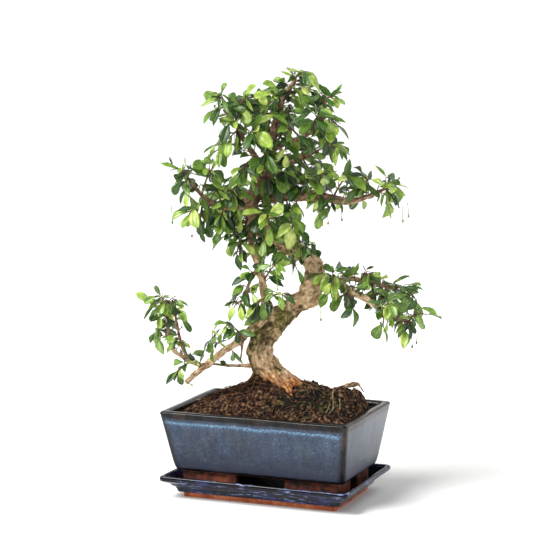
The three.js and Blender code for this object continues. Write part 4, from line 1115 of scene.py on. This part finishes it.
def is_free(point, shoot, own, other):
    """Whether a point keeps its distance from its own shoot's points and from the others'."""
    cx, cy, cz = cell_of(point)
    for dx in (-1, 0, 1):
        for dy in (-1, 0, 1):
            for dz in (-1, 0, 1):
                for place, owner in filled.get((cx + dx, cy + dy, cz + dz), ()):
                    gap = place - point
                    if math.sqrt(float(gap @ gap)) < (own if owner == shoot else other):
                        return False
    return True


def clear_samples(pose, shoot, own, other, off_wood):
    """The sample points of a leaf if all are clear of wood and other leaves, or nothing."""
    samples = [leaf_point(pose, s, across)
               for s in (0.3, 0.5, 0.7, 0.88) for across in (-0.75, 0, 0.75)]
    samples.append(leaf_point(pose, 1, 0))
    for point in samples:
        if not is_free(point, shoot, own, other):
            return None
        if (np.linalg.norm(wood_points - point, axis=1) <= wood_radii + off_wood).any():
            return None
    return samples


plants = []
for start, tips, count, size in SHOOTS:
    start = at(*start)
    root = wood_points[int(np.argmin(((wood_points - start) ** 2).sum(axis=1)))]
    twigs = [(root, at(*tips[0]))]
    fork = twig_point(twigs[0], 0.35)
    twigs += [(fork, at(*tip)) for tip in tips[1:]]
    plants.append({"twigs": twigs, "count": count, "size": size, "leaves": [], "twiglets": []})
for number, plant in enumerate(plants):
    for twig in plant["twigs"]:
        for i in range(1, 13):
            fill(twig_point(twig, i / 12), number)
for number, plant in enumerate(plants):
    for twig in plant["twigs"]:
        for i in range(plant["count"]):
            for _ in range(TRIES):
                pose = leaf_pose(twig, i, plant["count"], plant["size"])
                samples = clear_samples(pose, number, own=2.6, other=3.2, off_wood=1.2)
                if samples:
                    for point in samples:
                        fill(point, number)
                    plant["leaves"].append((pose, i / plant["count"]))
                    break

# Short spurs on the limbs and side twiglets on the twigs carry the rest of the leaves, except
# where the crown is open or bare wood shows: centre u and z, and half sizes, in millimetres.
OPENINGS = [
    (-46, 330, 12, 17), (5, 341, 4, 5), (24, 371, 9, 5), (27, 333, 8, 8), (-2, 282, 5, 5),
    (-3, 365, 6, 12), (-19, 347, 4, 16), (20, 362, 9, 4), (-27, 283, 8, 9), (-22, 298, 14, 6),
    (24, 210, 12, 22), (36, 220, 12, 22), (2, 184, 18, 12), (-17, 150, 16, 24), (10, 112, 40, 18),
    (-8, 232, 4, 9), (-40, 424, 34, 10), (-76, 372, 18, 20), (-118, 330, 12, 30), (82, 366, 12, 26),
    (74, 404, 8, 20), (140, 322, 14, 30), (55, 262, 17, 27), (100, 246, 34, 9), (90, 178, 20, 10),
    (58, 186, 14, 14), (122, 150, 30, 12), (-50, 124, 20, 13), (-84, 105, 16, 10), (98, 322, 6, 13),
    (14, 231, 11, 13), (-78, 176, 14, 22), (-134, 176, 12, 20), (-90, 208, 22, 6),
    (-86, 262, 12, 8), (-66, 246, 12, 14), (85, 283, 30, 6), (116, 156, 14, 9), (58, 190, 20, 9),
]
# Stems that carry spurs: the limbs, the trunk in the crown, and its lower half once more
SPUR_STEMS = {"trunk": TRUNK[15:], "low_crown": TRUNK[14:20], **LIMBS}
# How far apart the spurs of a stem stand, how much they rise, their length and their leaves' length
SPURS = {
    "trunk": (4.5, 0.1, 12, 17),
    "riser": (11, 0.2, 8, 15), "riser_twig": (6, 0, 8, 15), "low_left": (17, 0.6, 7, 14),
    "low_left_rise": (9, 0.4, 6, 13), "low_left_shoot": (8, 0.2, 6, 13), "right_low": (5, 0.7, 9, 13),
    "right_rise": (4.5, 0.8, 10, 13), "up_right": (4, 0.5, 14, 16), "up_left": (4.5, 0.1, 12, 17),
    "top_left": (4, 0.3, 13, 17), "top_right": (4, 0.3, 13, 16), "back_left": (5, 0.3, 12, 18),
    "back_right": (5, 0.3, 12, 18), "back_top": (5, 0.3, 12, 18), "back_low": (6, 0.2, 11, 17),
    "low_crown": (2.6, 0.1, 14, 16),
}
low_box, high_box = (np.array(corner) / MM for corner in cad_box)
leaf_points = [(np.array([pose[0] for pose, _ in plant["leaves"]]), number)
               for number, plant in enumerate(plants) if plant["leaves"]]


def is_open(point):
    """Whether a point lies in front of bare wood or in an opening of the crown."""
    u, v = float(point @ at(1, 0, 0)), float(point @ at(0, 1, 0))
    return v < 22 and any(((u - mid_u) / half_u) ** 2 + ((point[2] - mid_z) / half_z) ** 2 < 1
                          for mid_u, mid_z, half_u, half_z in OPENINGS)


def leaf_out(twig, number, count, size):
    """Sets small leaves on a spur or twiglet, kept under the crown's top, where there is room."""
    twig[1][2] = min(twig[1][2], high_box[2] + 1)
    grown = 0
    for i in range(count):
        for _ in range(SMALL_TRIES):
            pose = leaf_pose(twig, i, count, size * draw(0.56, 1.22))
            samples = clear_samples(pose, number, own=1.5, other=1.9, off_wood=0.6)
            if not samples or any(
                    (p < low_box - 5).any() or (p > high_box + 5).any() for p in samples):
                continue
            if is_open(samples[4]) or is_open(samples[-1]):
                continue
            for point in samples:
                fill(point, number)
            plants[number]["leaves"].append((pose, draw(0, 1)))
            grown += 1
            break
    if grown:
        plants[number]["twiglets"].append(twig)


for name, (spacing, rise_share, reach, size) in SPURS.items():
    skeleton = SPUR_STEMS[name]
    length = sum(np.linalg.norm(at(*a[:3]) - at(*b[:3])) for a, b in zip(skeleton, skeleton[1:]))
    count = round(length / spacing)
    for i in range(count):
        share = 0.12 + 0.88 * (i + draw(0, 1)) / count
        point, radius = curve_point(skeleton, min(share, 0.999))
        ahead, _ = curve_point(skeleton, min(share + 0.02, 1))
        along = unit(ahead - point)
        aside = unit(np.cross(along, unit(np.array((draw(-1, 1), draw(-1, 1), draw(-1, 1))))))
        heading = unit(aside + along * draw(0, 0.5) + UP * rise_share + at(0, -1, 0) * draw(-0.2, 0.5))
        spur = (point + heading * radius * 0.8, point + heading * (radius + reach * draw(0.3, 1.2)))
        nearest = min(leaf_points, key=lambda item: float(((item[0] - spur[1]) ** 2).sum(axis=1).min()))
        leaf_out(spur, nearest[1], count=3, size=size)
for number, plant in enumerate(plants):
    for twig in plant["twigs"]:
        reach = np.linalg.norm(twig[1] - twig[0])
        for _ in range(max(3, round(reach / 6))):
            fork = twig_point(twig, draw(0.2, 0.98))
            aside = np.array((draw(-1, 1), draw(-1, 1), draw(-0.8, 0.9)))
            heading = unit(aside + unit(twig[1] - twig[0]) * 0.4)
            leaf_out((fork, fork + heading * draw(5, 14)), number, count=3, size=plant["size"] * 0.85)


def leaf_template(widths):
    """One leaf lying flat: x across in half widths, y along it from 0 to 1, z up to its back."""
    bm = bmesh.new()
    bmesh.ops.create_grid(bm, x_segments=4, y_segments=len(widths) - 1, size=1)
    uv = bm.loops.layers.uv.new("leaf")
    rows = sorted({round(v.co.y, 4) for v in bm.verts})
    for face in bm.faces:
        for loop in face.loops:
            loop[uv].uv = (loop.vert.co.x / 2 + 0.5, loop.vert.co.y / 2 + 0.5)
    for vert in bm.verts:
        s, width = widths[rows.index(round(vert.co.y, 4))]
        vert.co = (vert.co.x * width, s, 0)
    top = bm.faces[:]
    made = bmesh.ops.duplicate(bm, geom=top)["geom"]
    under = [item for item in made if isinstance(item, bmesh.types.BMFace)]
    bmesh.ops.reverse_faces(bm, faces=under)
    for face in under:
        face.material_index = 1
    for vert in {v for face in under for v in face.verts}:
        if not vert.is_boundary:
            vert.co.z -= 1
    bmesh.ops.remove_doubles(bm, verts=bm.verts[:], dist=1e-6)
    for face in bm.faces:
        face.smooth = True
    mesh = bpy.data.meshes.new("leaf_template")
    bm.to_mesh(mesh)
    bm.free()
    return mesh


# Outlines of leaves: how far along, and the half width there. Half of the leaves are spoons.
SPOON = [(0, 0.05), (0.12, 0.13), (0.34, 0.58), (0.56, 0.92), (0.76, 1.0), (0.92, 0.68), (1, 0.08)]
POINTED = [(0, 0.05), (0.1, 0.12), (0.28, 0.66), (0.48, 0.94), (0.68, 0.84), (0.87, 0.42), (1, 0.03)]
LANCE = [(0, 0.04), (0.1, 0.14), (0.28, 0.44), (0.5, 0.62), (0.7, 0.56), (0.88, 0.3), (1, 0.03)]
templates = [leaf_template(SPOON), leaf_template(SPOON), leaf_template(POINTED), leaf_template(LANCE)]


def add_leaf(bm, pose, template, breadth, curl, fold, wave, twist):
    """Lays a leaf of the template at its pose, folded along its midrib and waved at its edge."""
    verts, faces = lay(bm, template)
    base, way, face, length = pose
    side = np.cross(face, way)
    for vert in verts:
        across, s, back = vert.co
        turned = twist * s
        lean = side * math.cos(turned) + face * math.sin(turned)
        reach = LEAF_WIDTH * breadth * length * across
        lift = fold * abs(reach) + wave * length * math.sin(s * 9 + across * 2) * across * across
        point = (base + way * (length * s) + lean * reach
                 + face * (lift - curl * length * s * s + 0.3 * back))
        vert.co = Vector(point) * MM
    return verts, faces


# Young bark of this year's twigs: red-brown, dull and finely wrinkled.
twig_bark, tree = new_material("young_twig_bark")
coords = add(tree, "TexCoord").outputs["Object"]
rings = add(tree, "TexNoise", {"Vector": coords, "Scale": 260, "Detail": 4, "Roughness": 0.7})
colour = add(tree, "ValToRGB", {"Fac": rings.outputs[0]},
             stops=[(0.33, "#35241b"), (0.5, "#5b4030"), (0.68, "#8a6b52")])
bumps = add(tree, "Bump", {"Height": rings.outputs[0], "Strength": 0.6, "Distance": 0.4 * MM})
shader = add(tree, "BsdfPrincipled", {
    "Base Color": colour.outputs[0], "Roughness": 0.75, "Normal": bumps.outputs[0]})
add(tree, "OutputMaterial", {"Surface": shader.outputs[0]})

# Upper face of a leathery evergreen leaf: deep to yellow green by age, a waxy gloss,
# a paler midrib and faint side veins about 2 mm apart.
leaf_upper, tree = new_material("waxy_leaf_upper")
place = add(tree, "SeparateXYZ", {"Vector": add(tree, "UVMap", uv_map="leaf").outputs[0]})
coords = add(tree, "TexCoord").outputs["Object"]
age = add(tree, "Attribute", attribute_name="tint").outputs["Fac"]
green = add(tree, "ValToRGB", {"Fac": age},
            stops=[(0.0, "#152c0c"), (0.25, "#3b6120"), (0.5, "#7ea137"), (0.75, "#b2cc58"),
                   (1.0, "#dce884")]).outputs[0]
blotch = add(tree, "TexNoise", {"Vector": coords, "Scale": 160, "Detail": 3}).outputs[0]
shade = add(tree, "ValToRGB", {"Fac": blotch}, stops=[(0.35, "#b4bca8"), (0.65, "#ffffff")]).outputs[0]
varied = add(tree, "Mix", {0: 1.0, 6: green, 7: shade},
             data_type="RGBA", blend_type="MULTIPLY").outputs[2]
aside = add(tree, "Math", {0: place.outputs["X"], 1: 0.5}, operation="SUBTRACT").outputs[0]
from_rib = add(tree, "Math", {0: aside}, operation="ABSOLUTE").outputs[0]
rib = add(tree, "MapRange", {
    "Value": from_rib, "From Min": 0.045, "From Max": 0.01, "To Max": 0.3}).outputs[0]
slant = add(tree, "Math", {0: from_rib, 1: 0.7}, operation="MULTIPLY").outputs[0]
run = add(tree, "Math", {0: place.outputs["Y"], 1: slant}, operation="SUBTRACT").outputs[0]
turns = add(tree, "Math", {0: run, 1: 55}, operation="MULTIPLY").outputs[0]
wave = add(tree, "Math", {0: turns}, operation="SINE").outputs[0]
vein = add(tree, "MapRange", {"Value": wave, "From Min": 0.75, "From Max": 1.0, "To Max": 0.12}).outputs[0]
lines = add(tree, "Math", {0: rib, 1: vein}, operation="MAXIMUM").outputs[0]
colour = add(tree, "Mix", {0: lines, 6: varied, 7: linear("#a5c173")}, data_type="RGBA").outputs[2]
groove = add(tree, "Bump", {"Height": lines, "Strength": 0.5, "Distance": 0.3 * MM}, invert=True)
shader = add(tree, "BsdfPrincipled", {
    "Base Color": colour, "Roughness": 0.3, "IOR": 1.5, "Subsurface Weight": 0.12,
    "Subsurface Radius": (0.5, 1.0, 0.2), "Subsurface Scale": 1.2 * MM, "Normal": groove.outputs[0]})
add(tree, "OutputMaterial", {"Surface": shader.outputs[0]})

# Under face of the same leaf: paler, grey-green and almost matt, the midrib standing out.
leaf_under, tree = new_material("pale_leaf_underside")
place = add(tree, "SeparateXYZ", {"Vector": add(tree, "UVMap", uv_map="leaf").outputs[0]})
coords = add(tree, "TexCoord").outputs["Object"]
age = add(tree, "Attribute", attribute_name="tint").outputs["Fac"]
green = add(tree, "ValToRGB", {"Fac": age},
            stops=[(0.0, "#36512a"), (0.5, "#698b44"), (1.0, "#abc568")]).outputs[0]
blotch = add(tree, "TexNoise", {"Vector": coords, "Scale": 160, "Detail": 3}).outputs[0]
shade = add(tree, "ValToRGB", {"Fac": blotch}, stops=[(0.35, "#c0c6b8"), (0.65, "#ffffff")]).outputs[0]
varied = add(tree, "Mix", {0: 1.0, 6: green, 7: shade},
             data_type="RGBA", blend_type="MULTIPLY").outputs[2]
aside = add(tree, "Math", {0: place.outputs["X"], 1: 0.5}, operation="SUBTRACT").outputs[0]
from_rib = add(tree, "Math", {0: aside}, operation="ABSOLUTE").outputs[0]
rib = add(tree, "MapRange", {
    "Value": from_rib, "From Min": 0.08, "From Max": 0.02, "To Max": 0.6}).outputs[0]
colour = add(tree, "Mix", {0: rib, 6: varied, 7: linear("#c3d29a")}, data_type="RGBA").outputs[2]
ridge = add(tree, "Bump", {"Height": rib, "Strength": 0.5, "Distance": 0.4 * MM})
shader = add(tree, "BsdfPrincipled", {
    "Base Color": colour, "Roughness": 0.55, "Subsurface Weight": 0.12,
    "Subsurface Radius": (0.5, 1.0, 0.2), "Subsurface Scale": 1.2 * MM, "Normal": ridge.outputs[0]})
add(tree, "OutputMaterial", {"Surface": shader.outputs[0]})

# Buds and small unripe fruit on hair-thin stalks: dull olive green to brown.
bud_skin, tree = new_material("olive_bud_skin")
coords = add(tree, "TexCoord").outputs["Object"]
patches = add(tree, "TexNoise", {"Vector": coords, "Scale": 120, "Detail": 3})
colour = add(tree, "ValToRGB", {"Fac": patches.outputs[0]},
             stops=[(0.35, "#4a4a26"), (0.5, "#6d7a3a"), (0.68, "#9aa860")])
shader = add(tree, "BsdfPrincipled", {"Base Color": colour.outputs[0], "Roughness": 0.5})
add(tree, "OutputMaterial", {"Surface": shader.outputs[0]})

# Buds that hang free in the photo: the top of the stalk, and its length
HANGING = [
    ((44, -22, 294), 13), ((50, -26, 292), 10), ((64, -20, 292), 8), ((124, -20, 296), 12),
    ((130, -16, 298), 10), ((43, -20, 200), 14), ((134, -24, 172), 13), ((139, -20, 170), 9),
    ((-104, -26, 298), 14), ((0, -36, 230), 12),
]
rng = random.Random(77)
bm = bmesh.new()
bmesh.ops.create_icosphere(bm, subdivisions=1, radius=1)
bud_template = bpy.data.meshes.new("bud_template")
bm.to_mesh(bud_template)
bm.free()
hanging = {}
for place, length in HANGING:
    spot = at(*place)
    nearest = min(leaf_points, key=lambda item: float(((item[0] - spot) ** 2).sum(axis=1).min()))
    hanging.setdefault(nearest[1], []).append((spot, np.array((0.1, 0, -1.0)), length))
for number, plant in enumerate(plants):
    bm = bmesh.new()
    tint = bm.verts.layers.float.new("tint")
    bm.loops.layers.uv.new("leaf")
    for twig in plant["twigs"]:
        steps = 9
        points = [Vector(twig_point(twig, i / steps)) for i in range(steps + 1)]
        points = [(p + noise.noise_vector(p / 9) * 0.5 * (0 < i < steps)) * MM
                  for i, p in enumerate(points)]
        tube(bm, points, lambda i, _: (1.15 - 0.65 * i / steps + (0.14 if i % 2 else 0)) * MM, sides=6)
    for twiglet in plant["twiglets"]:
        points = [Vector(twig_point(twiglet, i / 3)) * MM for i in range(4)]
        tube(bm, points, lambda i, _: (0.6, 0.5, 0.42, 0.3)[i] * MM, sides=5)
    for pose, age in plant["leaves"]:
        shade = min(max(0.17 + 0.45 * age + rng.gauss(0, 0.23), 0), 1)
        verts, faces = add_leaf(bm, pose, rng.choice(templates), rng.uniform(0.72, 1.25),
                                LEAF_CURL + max(rng.gauss(0, 0.18), -0.2), rng.uniform(0.05, 0.85),
                                rng.uniform(-0.06, 0.06), rng.gauss(0, 0.5))
        for vert in verts:
            vert[tint] = shade
        for face in faces:
            face.material_index += 1
    stalks = hanging.get(number, [])
    for twig in plant["twigs"]:
        for _ in range(rng.choice((0, 0, 1, 1))):
            heading = unit(np.array((rng.uniform(-1, 1), rng.uniform(-1, 1), rng.uniform(-1.2, 0.4))))
            stalks.append((twig_point(twig, rng.uniform(0.3, 1)), heading, rng.uniform(6, 11)))
    for start, heading, length in stalks:
        points = [Vector(start + heading * (length * i / 3) - UP * (0.036 * length * i * i)) * MM
                  for i in range(4)]
        tube(bm, points, lambda i, _: (0.38, 0.34, 0.32, 0.42)[i] * MM, sides=4, material=3)
        verts, faces = lay(bm, bud_template)
        for vert in verts:
            vert.co = points[-1] + Vector((vert.co.x * 1.15, vert.co.y * 1.15, vert.co.z * 1.9)) * MM
        for face in faces:
            face.material_index = 3
            face.smooth = True
    shoot = new_piece(f"leaves_and_twigs_{number + 1:02d}", bm,
                      [twig_bark, leaf_upper, leaf_under, bud_skin])
    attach(shoot, "root")
    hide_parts(f"leafy_shoot_{number + 1:02d}")
